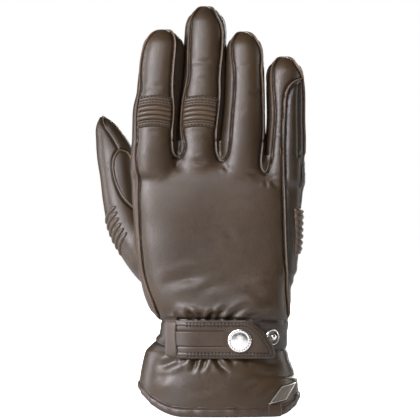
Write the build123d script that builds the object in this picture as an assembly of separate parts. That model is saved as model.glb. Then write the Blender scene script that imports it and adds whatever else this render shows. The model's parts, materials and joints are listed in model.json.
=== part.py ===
from build123d import *
import os
from math import asin, cos, degrees, radians, sin, sqrt, tan

# Riding glove for the right hand: leather shell, lining, wrist strap with a snap, and cuff.
# Millimetres. +Z runs up along the fingers, +X towards the little finger and +Y towards the palm.
# The glove stands on the front and the rear of its cuff hem.
# Every finger, the thumb, the knuckles and the strap can bend, so the shell is made in stiff
# tubes with square ends, and a soft panel fills the gap at each bend.

# ---- Materials ----
leather = 1.6
layer_gap = 0.2
lining = 1.2
quilt = leather + layer_gap + lining

# ---- Body sections: centre x, width, depth, corner radius ----
cuff = (11.8, 97.0, 62.0, 28.0)
wrist = (15.4, 75.3, 46.0, 21.0)
heel = (12.0, 96.0, 38.0, 17.5)
knuckle = (10.5, 103.0, 33.0, 15.0)
finger_base = (10.5, 105.0, 31.0, 14.0)
web = (10.5, 104.0, 28.0, 12.5)

# ---- Heights ----
cuff_top = 23.0
prism_bottom = 34.0
prism_top = 61.0
band_bottom = 41.0
band_top = 58.6
heel_height = 85.0
knuckle_height = 136.0
knuckle_gap = 20.0
web_height = 152.0

# ---- Seams of the hand ----
back_seam_y = -6.0
palm_seam_y = 8.0
outer_seam_x = 50.8
knuckle_seam_y = -3.0
root_back_y = -3.0
root_palm_y = 6.0

# ---- Hem: flat at the front and rear centre, rising at both sides ----
hem_band = 6.0
hem_bulge = 0.9
hem_flat_left = -10.0
hem_flat_right = 46.0
hem_left_radius = 33.0
hem_right_radius = 17.5
lining_hem_margin = 2.0

# ---- Fingers: centre x and height of the bend, lean to the right, radius, tip height ----
fingers = {
    "index": dict(x=-27.4, bend=186.0, lean=6.5, radius=11.6, tip=236.0),
    "middle": dict(x=0.2, bend=186.0, lean=5.0, radius=12.0, tip=250.7),
    "ring": dict(x=27.5, bend=183.0, lean=0.0, radius=11.5, tip=234.0),
    "little": dict(x=52.5, bend=170.0, lean=0.0, radius=11.7, tip=219.0),
}
finger_gap = 18.6
root_curl = 5.0
tip_curl = 13.0
finger_side = 4.0

# ---- Thumb ----
thumb_start = (-14.0, 6.0, 76.0)
thumb_start_radius = 18.0
thumb_root_end = (-45.0, 21.0, 111.0)
thumb_radius = 10.2
thumb_tube_start = (-54.2, 27.0, 135.0)
thumb_tip_centre = (-54.2, 42.0, 172.5)

# ---- Padded patch on the outer edge of the hand ----
patch_bottom = 99.0
patch_top = 125.0
patch_half_depth = 12.0
patch_front_x = 46.0
foam = 1.2
patch_leather = 1.2
patch_rim = 1.5

# ---- Wrist elastic, in a channel in the wrist band ----
elastic = 0.8
elastic_bottom = 44.0
elastic_top = 56.0

# ---- Strap ----
strap_lift = 3.3
strap_ply = 1.2
strap_bottom = 35.7
strap_top = 58.6
strap_tip_x = 46.0
strap_tip_shoulder_x = 27.8
strap_tip_nose = 2.7
strap_hinge_x = -10.6
strap_crease = 4.0
anchor_block_x = -21.8

# ---- Keeper loop ----
keeper_left = -21.0
keeper_right = -14.3
keeper_ply = 1.2
keeper_clearance = 0.3
keeper_end_gap = 0.5
keeper_leg = 1.0

# ---- Snap ----
snap_x = 24.1
snap_height = 46.4
spare_x = 44.1
spare_height = 48.2
cap_diameter = 14.5
cap_thickness = 1.6
cap_round = 0.7
shank_diameter = 3.2
shank_clearance = 0.1
stud_flange_diameter = 10.0
stud_flange = 0.8
stud_post_diameter = 3.8
socket_diameter = 10.5
socket_roof = 0.5
socket_side_clearance = 0.45
socket_flange_clearance = 0.2
post_end_clearance = 0.3

# ---- Badge and hem tab ----
badge_x = 50.6
badge_height = 14.6
badge_long = 26.0
badge_short = 9.5
badge_tilt = 27.0
badge_plate = 1.0
tab_left = 41.2
tab_right = 49.7
tab_top = 7.3
tab_ply = 1.2

# ---- Worked out from the sizes above ----
fold_bottom = knuckle_height - knuckle_gap / 2
fold_top = knuckle_height + knuckle_gap / 2
far = 200.0
strap_front = strap_lift + 2 * strap_ply
strap_middle = strap_lift + strap_ply
socket_bore = stud_post_diameter + 2 * socket_side_clearance
socket_bottom = stud_flange + socket_flange_clearance
stud_post_top = strap_lift - socket_roof - post_end_clearance


# ---- Cutting regions ----
def block(x0, x1, y0, y1, z0, z1):
    """A box between two corners."""
    return Pos((x0 + x1) / 2, (y0 + y1) / 2, (z0 + z1) / 2) * Box(x1 - x0, y1 - y0, z1 - z0)


def between_z(low, high):
    return block(-far, far, -far, far, low, high)


def between_y(low, high):
    return block(-far, far, low, high, -far, 2 * far)


def between_x(low, high):
    return block(low, high, -far, far, -far, 2 * far)


# ---- Body of the glove ----
def section(height, shape, inset):
    """A rounded cross-section, this far inside the leather's outer face."""
    x, width, depth, radius = shape
    outline = RectangleRounded(width - 2 * inset, depth - 2 * inset, radius - inset)
    return Pos(x, 0, height) * outline


def body(inset):
    """Hem to knuckles as a closed solid."""
    levels = [
        (0.0, cuff),
        (cuff_top, cuff),
        (prism_bottom, wrist),
        (prism_top, wrist),
        (heel_height, heel),
        (fold_bottom, knuckle),
    ]
    return loft([section(height, shape, inset) for height, shape in levels], ruled=True)


def knuckle_span(inset):
    """The soft stretch over the knuckles, as a closed solid."""
    return loft([section(fold_bottom, knuckle, inset), section(fold_top, finger_base, inset)], ruled=True)


def wrist_prism(offset):
    """The straight wrist, grown outwards by an offset."""
    return extrude(section(prism_bottom, wrist, -offset), prism_top - prism_bottom)


def wrist_layer(inner, outer):
    return wrist_prism(outer) - wrist_prism(inner)


def cuff_layer(inner, outer):
    """A skin on the straight part of the cuff."""
    return extrude(section(0, cuff, -outer), cuff_top) - extrude(section(0, cuff, -inner), cuff_top)


def below_hem(lift):
    """Everything below the hem line, raised by a lift."""
    under = between_z(-far, lift)
    left = block(-far, hem_flat_left, -far, far, lift, lift + hem_left_radius)
    left -= Pos(hem_flat_left, 0, lift + hem_left_radius) * along_y(hem_left_radius)
    right = block(hem_flat_right, far, -far, far, lift, lift + hem_right_radius)
    right -= Pos(hem_flat_right, 0, lift + hem_right_radius) * along_y(hem_right_radius)
    return under + left + right


def along_y(radius):
    return Rot(90, 0, 0) * Cylinder(radius, 2 * far)


# ---- Thumb root ----
def thumb_root_axis():
    return Vector(*thumb_root_end) - Vector(*thumb_start)


def thumb_root_solid(inset):
    """The swell of the thumb's base, running out into a tube."""
    start = Plane(thumb_start, z_dir=thumb_root_axis())
    end = Plane(thumb_root_end, z_dir=thumb_root_axis())
    cone = loft([start * Circle(thumb_start_radius - inset), end * Circle(thumb_radius - inset)])
    return cone + Pos(*thumb_start) * Sphere(thumb_start_radius - inset)


# ---- Fingers ----
def finger_plane(finger, curl, along):
    """A plane across the finger, a distance along it from the bend."""
    lean = tan(radians(finger["lean"]))
    direction = Vector(lean, tan(radians(curl)), 1).normalized()
    across = Vector(1, 0, -lean).normalized()
    bend = Vector(finger["x"], finger_bend_y(finger), finger["bend"])
    return Plane(bend + direction * along, x_dir=across, z_dir=direction)


def finger_bend_y(finger):
    """The fingers leave the knuckles at the middle of the hand, curling towards the palm."""
    return (finger["bend"] - knuckle_height) * tan(radians(root_curl))


def finger_length(finger):
    """From the bend to the tip, along the finger."""
    direction = finger_plane(finger, tip_curl, 0).z_dir
    centre_rise = finger["tip"] - finger["radius"] - finger["bend"]
    return centre_rise / direction.Z + finger["radius"]


def root_tube(finger, inset):
    """A finger's stiff tube from the knuckles up to its bend."""
    length = finger["bend"] - fold_top + finger["radius"]
    plane = finger_plane(finger, root_curl, -finger_gap / 2)
    tube = plane * (Pos(0, 0, -length / 2) * Cylinder(finger["radius"] - inset, length))
    return tube & between_z(fold_top, far * 2)


def roots(inset):
    """The base of the fingers with four tubes rising from it."""
    slab = loft([section(fold_top, finger_base, inset), section(web_height, web, inset)], ruled=True)
    slab &= between_z(fold_top, web_height - inset)
    for finger in fingers.values():
        slab += root_tube(finger, inset)
    return slab


def capsule(radius, inset, start, length):
    """A round-ended tube along +Z, closed at the top."""
    straight = length - radius - start
    tube = Pos(0, 0, start + straight / 2) * Cylinder(radius - inset, straight)
    return tube + Pos(0, 0, start + straight) * (Sphere(radius - inset) & between_z(0, far))


def capsule_shell(radius, outer, inner, start, length):
    return capsule(radius, outer, start, length) - capsule(radius, inner, start, length)


def bend_tube(lower, lower_radius, upper, upper_radius):
    """A soft sewn quilt of leather and lining round a bend."""
    outer = loft([lower * Circle(lower_radius), upper * Circle(upper_radius)], ruled=True)
    inner = loft([lower * Circle(lower_radius - quilt), upper * Circle(upper_radius - quilt)], ruled=True)
    return outer - inner


def fingertip_parts(name, finger):
    """The leather, lining and soft bend of one finger beyond its bend."""
    plane = finger_plane(finger, tip_curl, 0)
    start = finger_gap / 2
    length = finger_length(finger)
    radius = finger["radius"]
    shell = capsule_shell(radius, 0, leather, start, length)
    inner = capsule_shell(radius, leather + layer_gap, quilt, start, length)
    lower = finger_plane(finger, root_curl, -start)
    upper = finger_plane(finger, tip_curl, start)
    bend_name = "accordion" if name in ("index", "middle") else "crease"
    return {
        f"{name}_back": plane * (shell & between_y(-far, -finger_side)),
        f"{name}_palm_side": plane * (shell & between_y(finger_side, far)),
        f"{name}_fourchettes": plane * (shell & between_y(-finger_side, finger_side)),
        f"lining_{name}": plane * inner,
        f"{name}_{bend_name}": bend_tube(lower, radius, upper, radius),
    }


# ---- Thumb beyond its root ----
def thumb_plane(along):
    direction = (Vector(*thumb_tip_centre) - Vector(*thumb_tube_start)).normalized()
    return Plane(Vector(*thumb_tube_start) + direction * along, x_dir=(1, 0, 0), z_dir=direction)


def thumb_parts():
    start = thumb_plane(0)
    length = (Vector(*thumb_tip_centre) - Vector(*thumb_tube_start)).length + thumb_radius
    shell = capsule_shell(thumb_radius, 0, leather, 0, length)
    inner = capsule_shell(thumb_radius, leather + layer_gap, quilt, 0, length)
    root_end = Plane(thumb_root_end, z_dir=thumb_root_axis())
    return {
        "thumb_back": start * (shell & between_y(-far, 0)),
        "thumb_inner_panel": start * (shell & between_y(0, far)),
        "lining_thumb": start * inner,
        "thumb_accordion": bend_tube(root_end, thumb_radius, start, thumb_radius),
    }


# ---- Leather of the hand ----
def hand_parts():
    """Back, side and palm panels from the wrist band up to the knuckles, and the thumb root."""
    outer = body(0)
    hollow = body(leather) + thumb_root_solid(leather)
    above_band = between_z(band_top, fold_bottom)
    wall = (outer - hollow) & above_band
    side = wall & between_y(back_seam_y, palm_seam_y)
    back = wall & between_y(-far, back_seam_y)
    outer_side = (back & between_x(outer_seam_x, far)) + (side & between_x(0, far))
    thumb_root = (thumb_root_solid(0) - outer - hollow) & between_z(band_top, far)
    return {
        "back_panel": back & between_x(-far, outer_seam_x),
        "outer_side_panel": outer_side,
        "thumb_side_gusset": side & between_x(-far, 0),
        "palm_panel": wall & between_y(palm_seam_y, far),
        "thumb_root": thumb_root,
    }


def patch_parts():
    """A padded leather patch on the outer edge of the hand."""
    bump = foam + patch_leather
    region = block(patch_front_x, far, -patch_half_depth, patch_half_depth, patch_bottom, patch_top)
    half = patch_half_depth - patch_rim
    core = block(
        patch_front_x + patch_rim, far, -half, half, patch_bottom + patch_rim, patch_top - patch_rim
    )
    pad = (body(-foam) - body(0)) & core
    cover = ((body(-bump) - body(0)) & region) - pad
    return {"palm_edge_foam": pad, "palm_edge_patch": cover}


def band_parts():
    """The wrist band, with an elastic in a channel on its palm side."""
    ring = (body(0) - body(leather)) & between_z(band_bottom, band_top)
    strip = wrist_layer(-leather, elastic - leather)
    strip &= between_z(elastic_bottom, elastic_top)
    strip &= between_y(0, far)
    band = ring - strip
    hole = stud_post_diameter / 2 + shank_clearance
    for plane in (closed_stud_plane(), spare_stud_plane()):
        band -= plane * (Pos(0, 0, -leather) * Cylinder(hole, 4 * leather))
    return {"wrist_band": band, "wrist_elastic": strip}


def cuff_parts():
    """The flared cuff, its rolled hem, a folded tab and a badge."""
    wall = ((body(0) - body(leather)) & between_z(0, band_bottom)) - below_hem(hem_band)
    hem = ((body(-hem_bulge) - body(leather)) - below_hem(0)) & below_hem(hem_band)
    tab = cuff_layer(hem_bulge, hem_bulge + tab_ply) & block(tab_left, tab_right, -far, 0, 0, tab_top)
    return {
        "cuff_back": wall & between_y(-far, 0),
        "cuff_palm": wall & between_y(0, far),
        "cuff_hem": hem,
        "hem_tab": tab - below_hem(0),
        "cuff_badge": cuff_badge(),
    }


def cuff_badge():
    """A plain diamond plate that follows the cuff's front right corner."""
    x, width, depth, radius = cuff
    corner_x = x + width / 2 - radius
    turn = asin((badge_x - corner_x) / radius)
    plane = Plane(
        (badge_x, -(depth / 2 - radius) - radius * cos(turn), badge_height),
        x_dir=(cos(turn), sin(turn), 0),
        z_dir=(sin(turn), -cos(turn), 0),
    )
    corners = [(-badge_long / 2, 0), (0, badge_short / 2), (badge_long / 2, 0), (0, -badge_short / 2)]
    diamond = Rot(0, 0, badge_tilt) * make_face(Polyline(*corners, close=True))
    return cuff_layer(0, badge_plate) & extrude(plane * diamond, radius / 2, both=True)


def lining_parts():
    """The lining inside the hand, knuckles and finger roots."""
    near = leather + layer_gap
    hand = (body(near) + thumb_root_solid(near)) - body(quilt) - thumb_root_solid(quilt)
    return {
        "lining_hand": hand - below_hem(lining_hem_margin),
        "lining_knuckles": knuckle_span(near) - knuckle_span(quilt),
        "lining_roots": roots(near) - roots(quilt),
    }


def knuckle_parts():
    """The soft leather over the knuckles, back and palm."""
    wall = knuckle_span(0) - knuckle_span(leather)
    return {
        "knuckle_crease_back": wall & between_y(-far, knuckle_seam_y),
        "knuckle_crease_palm": wall & between_y(knuckle_seam_y, far),
    }


def root_parts():
    """The leather at the base of the fingers."""
    wall = roots(0) - roots(leather)
    side = wall & between_y(root_back_y, root_palm_y)
    centres = [root_centre_x(finger) for finger in fingers.values()]
    strips = ["index_side_strip", "web_index_middle", "web_middle_ring", "web_ring_little", "little_side_strip"]
    edges = [-far, *centres, far]
    parts = {
        "roots_back": wall & between_y(-far, root_back_y),
        "roots_palm": wall & between_y(root_palm_y, far),
    }
    for name, low, high in zip(strips, edges, edges[1:]):
        parts[name] = side & between_x(low, high)
    return parts


def root_centre_x(finger):
    """Where the finger's centre stands, half-way up its root."""
    middle = (fold_top + finger["bend"] - finger_gap / 2) / 2
    return finger["x"] - (finger["bend"] - middle) * tan(radians(finger["lean"]))


# ---- Strap, keeper and snap ----
def strap_outline(left, right):
    """The strap seen from the front, with a rounded nose at its lower right."""
    middle = (strap_top + strap_bottom) / 2
    top = Line((left, strap_top), (strap_tip_shoulder_x, strap_top))
    cut = ThreePointArc(
        (strap_tip_shoulder_x, strap_top),
        ((strap_tip_shoulder_x + strap_tip_x) / 2 + strap_tip_nose, middle + strap_tip_nose * 1.4),
        (strap_tip_x, strap_bottom + strap_tip_nose),
    )
    end = Line((strap_tip_x, strap_bottom + strap_tip_nose), (strap_tip_x, strap_bottom))
    bottom = Line((strap_tip_x, strap_bottom), (left, strap_bottom))
    back = Line((left, strap_bottom), (left, strap_top))
    face = make_face(Curve() + [top, cut, end, bottom, back])
    return extrude(Plane.XZ * face, far) & between_x(left, right)


def front_of(solid):
    """Only the part of a wrist layer on the back of the hand."""
    return solid & between_y(-far, 0)


def strap_parts():
    """The moving strap, its soft fold, and the sewn end that stays on the wrist."""
    left = strap_hinge_x + strap_crease / 2
    anchor_right = strap_hinge_x - strap_crease / 2
    outline = strap_outline(left, far)
    hole = snap_plane(0) * Cylinder(shank_diameter / 2 + shank_clearance, far)
    height = between_z(strap_bottom, strap_top)
    fold = front_of(wrist_layer(strap_lift, strap_front)) & height & between_x(anchor_right, left)
    anchor = front_of(wrist_layer(strap_lift, strap_front)) & height & between_x(-far, anchor_right)
    anchor += front_of(wrist_layer(0, strap_front)) & height & between_x(-far, anchor_block_x)
    return {
        "strap_backing": (front_of(wrist_layer(strap_lift, strap_middle)) & outline) - hole,
        "strap_outer": (front_of(wrist_layer(strap_middle, strap_front)) & outline) - hole,
        "strap_fold": fold,
        "strap_anchor": anchor,
    }


def keeper_part():
    """A leather loop over the strap, sewn to the wrist above and below it."""
    top = strap_front + keeper_clearance
    low = strap_bottom - keeper_end_gap - keeper_leg
    high = strap_top + keeper_end_gap + keeper_leg
    span = between_x(keeper_left, keeper_right)
    arch = wrist_layer(top, top + keeper_ply) & between_z(low, high)
    legs = wrist_layer(0, top) & (between_z(low, low + keeper_leg) + between_z(high - keeper_leg, high))
    return front_of((arch + legs) & span)


def snap_plane(offset):
    """The snap's axis where the strap closes, pointing out of the back of the hand."""
    return Plane((snap_x, -wrist[2] / 2 - offset, snap_height), x_dir=(1, 0, 0), z_dir=(0, -1, 0))


def closed_stud_plane():
    return snap_plane(0)


def spare_stud_plane():
    """A second stud round the wrist's right corner, for a tighter wrist."""
    x, width, depth, radius = wrist
    turn = asin((spare_x - (x + width / 2 - radius)) / radius)
    centre_y = -(depth / 2 - radius) - radius * cos(turn)
    return Plane(
        (spare_x, centre_y, spare_height), x_dir=(cos(turn), sin(turn), 0), z_dir=(sin(turn), -cos(turn), 0)
    )


def rod(diameter, low, high):
    """A round bar along +Z between two heights."""
    return Pos(0, 0, (low + high) / 2) * Cylinder(diameter / 2, high - low)


def stud():
    """A snap stud: a shank through the band, a flange and a post."""
    return rod(stud_flange_diameter, 0, stud_flange) + rod(stud_post_diameter, -leather, stud_post_top)


def snap_cap():
    """A plain domed cap with its shank through the strap."""
    disc = rod(cap_diameter, strap_front, strap_front + cap_thickness)
    dome = fillet(disc.edges().group_by(Axis.Z)[-1], cap_round)
    return dome + rod(shank_diameter, strap_lift, strap_front)


def snap_socket():
    """The socket on the strap's underside, open towards the wrist."""
    shell = rod(socket_diameter, socket_bottom, strap_lift)
    return shell - rod(socket_bore, socket_bottom, strap_lift - socket_roof)


def snap_parts():
    return {
        "closed_stud": closed_stud_plane() * stud(),
        "spare_stud": spare_stud_plane() * stud(),
        "snap_cap": snap_plane(0) * snap_cap(),
        "snap_socket": snap_plane(0) * snap_socket(),
    }


# ---- Whole glove ----
def glove_parts():
    parts = {}
    parts.update(hand_parts())
    parts.update(patch_parts())
    parts.update(band_parts())
    parts.update(cuff_parts())
    parts.update(lining_parts())
    parts.update(knuckle_parts())
    parts.update(root_parts())
    for name, finger in fingers.items():
        parts.update(fingertip_parts(name, finger))
    parts.update(thumb_parts())
    parts.update(strap_parts())
    parts["strap_keeper"] = keeper_part()
    parts.update(snap_parts())
    return parts


os.makedirs("parts", exist_ok=True)
glove = glove_parts()
bounds = Compound(list(glove.values())).bounding_box()
to_origin = Pos(-bounds.center().X, -bounds.center().Y, -bounds.min.Z)
for node, shape in glove.items():
    export_step(to_origin * shape, f"parts/{node}.step")
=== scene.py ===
import json
import math
import random

import bpy
import numpy as np
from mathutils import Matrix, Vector, kdtree
from mathutils.bvhtree import BVHTree


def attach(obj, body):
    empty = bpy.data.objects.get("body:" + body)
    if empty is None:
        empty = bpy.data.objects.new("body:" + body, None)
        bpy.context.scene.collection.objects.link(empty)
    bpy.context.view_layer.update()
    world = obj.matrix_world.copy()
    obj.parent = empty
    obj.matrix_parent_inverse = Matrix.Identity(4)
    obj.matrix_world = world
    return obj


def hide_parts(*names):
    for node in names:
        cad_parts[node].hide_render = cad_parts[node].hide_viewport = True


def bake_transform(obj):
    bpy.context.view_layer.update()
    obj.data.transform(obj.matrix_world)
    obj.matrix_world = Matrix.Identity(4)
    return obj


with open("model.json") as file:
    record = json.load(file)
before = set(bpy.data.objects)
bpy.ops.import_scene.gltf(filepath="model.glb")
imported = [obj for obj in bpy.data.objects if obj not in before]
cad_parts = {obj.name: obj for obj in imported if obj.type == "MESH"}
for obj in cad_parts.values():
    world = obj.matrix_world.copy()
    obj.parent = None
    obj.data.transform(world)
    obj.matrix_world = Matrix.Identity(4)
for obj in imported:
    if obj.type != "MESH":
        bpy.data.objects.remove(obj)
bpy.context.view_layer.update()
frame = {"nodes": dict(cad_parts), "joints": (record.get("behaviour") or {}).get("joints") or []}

# A brown leather riding glove for the right hand, standing on its cuff with the fingers up.
# Lengths in this script are millimetres until a mesh is placed. In these millimetres, x runs
# towards the little finger, z runs up, and y is measured from the middle of the hand towards
# the palm, so the back of the hand has negative y.
mm = 0.001
joints = {joint["name"]: joint for joint in frame["joints"]}
hand_middle_y = joints["knuckle_fold"]["pos_m"][1] / mm

skin_voxel = 0.85
skin_smoothing = 4
skin_wall = 1.3


# ---------------------------------------------------------------- curves and sections
def smooth_values(knots, values, at):
    """Values that pass smoothly through the knots, at each place asked for."""
    knots = np.asarray(knots, float)
    values = np.asarray(values, float)
    at = np.clip(np.asarray(at, float), knots[0], knots[-1])
    slopes = np.gradient(values, knots, axis=0)
    i = np.clip(np.searchsorted(knots, at) - 1, 0, len(knots) - 2)
    width = knots[i + 1] - knots[i]
    t = (at - knots[i]) / width
    shape = (-1,) + (1,) * (values.ndim - 1)
    t = t.reshape(shape)
    width = width.reshape(shape)
    start = (2 * t**3 - 3 * t**2 + 1) * values[i] + (t**3 - 2 * t**2 + t) * width * slopes[i]
    end = (3 * t**2 - 2 * t**3) * values[i + 1] + (t**3 - t**2) * width * slopes[i + 1]
    return start + end


def smooth_path(points, spacing):
    """A smooth line through given points, with samples about this far apart."""
    points = np.asarray(points, float)
    steps = np.linalg.norm(np.diff(points, axis=0), axis=1)
    knots = np.concatenate([[0], np.cumsum(steps)])
    count = max(3, int(knots[-1] / spacing) + 1)
    return smooth_values(knots, points, np.linspace(0, knots[-1], count))


def placed(points):
    """Row-frame metres for points given in this script's millimetres."""
    points = np.asarray(points, float)
    return (points + np.array([0.0, hand_middle_y, 0.0])) * mm


def unplaced(points):
    """This script's millimetres for points given in row-frame metres."""
    return np.asarray(points, float) / mm - np.array([0.0, hand_middle_y, 0.0])


# ---------------------------------------------------------------- mesh helpers
def deselect_all():
    bpy.ops.object.select_all(action="DESELECT")


def make_active(piece):
    deselect_all()
    piece.select_set(True)
    bpy.context.view_layer.objects.active = piece


def apply_modifier(piece, kind, **settings):
    """Adds one modifier to a piece and applies it."""
    make_active(piece)
    modifier = piece.modifiers.new(kind.title(), kind)
    for key, value in settings.items():
        setattr(modifier, key, value)
    bpy.ops.object.modifier_apply(modifier=modifier.name)


def vertex_array(piece):
    coords = np.empty(len(piece.data.vertices) * 3)
    piece.data.vertices.foreach_get("co", coords)
    return coords.reshape(-1, 3)


def normal_array(piece):
    normals = np.empty(len(piece.data.vertices) * 3)
    piece.data.vertices.foreach_get("normal", normals)
    return normals.reshape(-1, 3)


def set_vertices(piece, coords):
    piece.data.vertices.foreach_set("co", np.ascontiguousarray(coords, float).ravel())
    piece.data.update()


def grid_piece(name, across, along, shape, close_across=False):
    """A grid primitive whose vertices are laid on a surface: shape takes u and v arrays, 0 to 1."""
    deselect_all()
    bpy.ops.mesh.primitive_grid_add(x_subdivisions=across, y_subdivisions=along, size=2)
    piece = bpy.context.object
    piece.name = name
    flat = vertex_array(piece)
    u = (flat[:, 0] + 1) / 2
    v = (flat[:, 1] + 1) / 2
    set_vertices(piece, shape(u, v))
    if close_across:
        merge_close(piece)
    return piece


def merge_close(piece, distance=0.00001):
    make_active(piece)
    bpy.ops.object.mode_set(mode="EDIT")
    bpy.ops.mesh.select_all(action="SELECT")
    bpy.ops.mesh.remove_doubles(threshold=distance)
    bpy.ops.mesh.normals_make_consistent(inside=False)
    bpy.ops.object.mode_set(mode="OBJECT")


def fill_open_ends(piece):
    """Closes a tube's open ends with flat faces."""
    make_active(piece)
    bpy.ops.object.mode_set(mode="EDIT")
    bpy.ops.mesh.select_mode(type="EDGE")
    bpy.ops.mesh.select_all(action="DESELECT")
    bpy.ops.mesh.select_non_manifold()
    bpy.ops.mesh.fill_holes(sides=0)
    bpy.ops.mesh.select_all(action="SELECT")
    bpy.ops.mesh.normals_make_consistent(inside=False)
    bpy.ops.object.mode_set(mode="OBJECT")


def soften(piece, angle=50):
    make_active(piece)
    bpy.ops.object.shade_smooth_by_angle(angle=math.radians(angle))


def join_pieces(name, pieces):
    deselect_all()
    for piece in pieces:
        piece.select_set(True)
    bpy.context.view_layer.objects.active = pieces[0]
    if len(pieces) > 1:
        bpy.ops.object.join()
    joined = bpy.context.view_layer.objects.active
    joined.name = name
    joined.data.name = name
    return joined


def copy_of(piece, name):
    """A second object with its own mesh."""
    copy = piece.copy()
    copy.data = piece.data.copy()
    copy.name = name
    bpy.context.scene.collection.objects.link(copy)
    return copy


def ring_tube(name, centres, half_widths, half_depths, squareness=2.0, sides=56, rings=80):
    """A closed tube through centres, with rounded sections that stand square to its line."""
    centres = np.asarray(centres, float)
    steps = np.linalg.norm(np.diff(centres, axis=0), axis=1)
    knots = np.concatenate([[0], np.cumsum(steps)])
    profile = np.column_stack([centres, half_widths, half_depths,
                               np.broadcast_to(squareness, len(centres))])

    def shape(u, v):
        at = v * knots[-1]
        values = smooth_values(knots, profile, at)
        ahead = smooth_values(knots, profile[:, :3], np.minimum(at + 0.5, knots[-1]))
        behind = smooth_values(knots, profile[:, :3], np.maximum(at - 0.5, 0))
        line = ahead - behind
        line /= np.linalg.norm(line, axis=1)[:, None]
        across = np.array([1.0, 0.0, 0.0]) - line * line[:, :1]
        across /= np.linalg.norm(across, axis=1)[:, None]
        depth = np.cross(line, across)
        turn = 2 * np.pi * u
        power = 2 / values[:, 5]
        c = np.sign(np.cos(turn)) * np.abs(np.cos(turn)) ** power
        s = np.sign(np.sin(turn)) * np.abs(np.sin(turn)) ** power
        points = values[:, :3] + across * (c * values[:, 3])[:, None] + depth * (s * values[:, 4])[:, None]
        return placed(points)

    piece = grid_piece(name, sides, rings, shape, close_across=True)
    fill_open_ends(piece)
    return piece


def voxel_form(name, pieces):
    """Joins closed pieces into one smooth watertight skin."""
    form = join_pieces(name, pieces)
    apply_modifier(form, "REMESH", mode="VOXEL", voxel_size=skin_voxel * mm, adaptivity=0)
    apply_modifier(form, "SMOOTH", factor=0.5, iterations=skin_smoothing)
    return form


def smooth_between(form, low, high, fade, iterations):
    """Evens a skin out between two heights only."""
    z = unplaced(vertex_array(form))[:, 2]
    weights = np.clip(np.minimum(z - low, high - z) / fade, 0, 1)
    group = form.vertex_groups.new(name="evened")
    for i in np.flatnonzero(weights > 0):
        group.add([int(i)], float(weights[i]), "REPLACE")
    apply_modifier(form, "SMOOTH", factor=0.5, iterations=iterations, vertex_group="evened")
    form.vertex_groups.clear()


# ---------------------------------------------------------------- shape of the glove
# Each finger: heights, centre x and half-width. The last height is where the tip's dome starts.
finger_rings = {
    "index": dict(
        heights=[146, 158, 168, 178, 186, 195, 205, 214, 223.5],
        centres=[-28.6, -28.25, -27.6, -27.25, -26.8, -25.3, -24.4, -23.6, -22.7],
        widths=[14.6, 14.35, 14.1, 14.25, 14.4, 13.9, 13.9, 13.8, 13.3],
        tip=(-21.4, 237.4), depth=11.8, forward=-2.2),
    "middle": dict(
        heights=[146, 158, 168, 178, 186, 195, 208, 222, 237.5],
        centres=[-0.85, -0.8, -0.4, 0.5, 1.2, 1.95, 2.85, 3.3, 3.45],
        widths=[14.35, 14.3, 14.3, 14.7, 14.8, 14.55, 14.15, 13.6, 12.75],
        tip=(3.8, 252.4), depth=11.9, forward=1.8),
    "ring": dict(
        heights=[146, 158, 168, 178, 184, 195, 208, 216, 222.5],
        centres=[26.55, 26.5, 26.6, 27.1, 27.35, 27.65, 27.8, 27.85, 27.65],
        widths=[14.25, 14.2, 13.9, 13.1, 12.75, 12.35, 12.0, 11.85, 11.35],
        tip=(26.3, 236.2), depth=11.4, forward=-1.6),
    "little": dict(
        heights=[140, 150, 158, 170, 180, 190, 199, 204, 207.5],
        centres=[52.45, 52.4, 52.3, 52.9, 53.05, 53.1, 53.0, 52.85, 52.6],
        widths=[12.75, 12.6, 12.6, 12.3, 11.85, 11.9, 12.0, 11.85, 11.6],
        tip=(52.0, 220.6), depth=11.2, forward=0.4),
}
finger_cut = {"index": 168.0, "middle": 168.0, "ring": 168.0, "little": 159.0}
stub_top = {"index": 181.0, "middle": 181.0, "ring": 181.0, "little": 171.0}

# The palm, wrist and cuff: height, left edge, right edge, half-depth, squareness.
hand_rings = [
    (-6, -36.9, 60.4, 30.5, 2.3),
    (12, -37.0, 60.4, 30.5, 2.3),
    (20, -36.9, 59.7, 30.0, 2.3),
    (27, -35.4, 58.6, 28.5, 2.3),
    (33, -32.8, 58.0, 26.5, 2.35),
    (39, -28.6, 55.6, 24.3, 2.7),
    (45, -25.6, 54.2, 23.2, 3.0),
    (52, -24.4, 53.4, 22.9, 3.1),
    (58, -24.8, 54.2, 23.0, 3.1),
    (64, -24.2, 55.8, 24.0, 2.9),
    (71, -29.4, 58.4, 22.6, 2.6),
    (78, -33.6, 59.4, 21.2, 2.8),
    (88, -36.6, 60.1, 19.6, 3.0),
    (100, -38.9, 60.8, 18.4, 3.1),
    (114, -40.3, 61.6, 17.4, 3.1),
    (128, -41.2, 62.2, 16.2, 3.1),
    (139, -42.0, 63.4, 14.2, 3.0),
    (146, -42.3, 64.0, 12.3, 2.7),
    (151, -41.6, 63.2, 10.4, 2.5),
    (155, -39.0, 60.0, 7.0, 2.3),
]
web_fillers = [(-14.6, 1.0, 149.5, 5.4, 9.5, 7.4), (12.8, 1.0, 148.2, 5.4, 9.5, 7.2)]

# The thumb: x, y, z, half-width, half-depth.
thumb_rings = [
    (-8, 6, 80, 12.0, 12.0),
    (-20, 9, 87, 14.6, 14.6),
    (-32.5, 14.5, 97, 13.8, 14.2),
    (-41.8, 20.5, 109, 12.3, 12.8),
    (-47.3, 24.4, 121, 11.4, 12.2),
    (-49.8, 28.2, 134, 11.3, 11.6),
    (-51.4, 32.2, 148, 11.6, 11.4),
    (-53.4, 36.8, 160, 11.7, 11.0),
    (-57.2, 41.0, 171, 8.8, 9.6),
    (-60.6, 43.6, 179.5, 5.4, 6.6),
    (-62.4, 44.8, 185.2, 1.2, 1.5),
]


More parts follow.
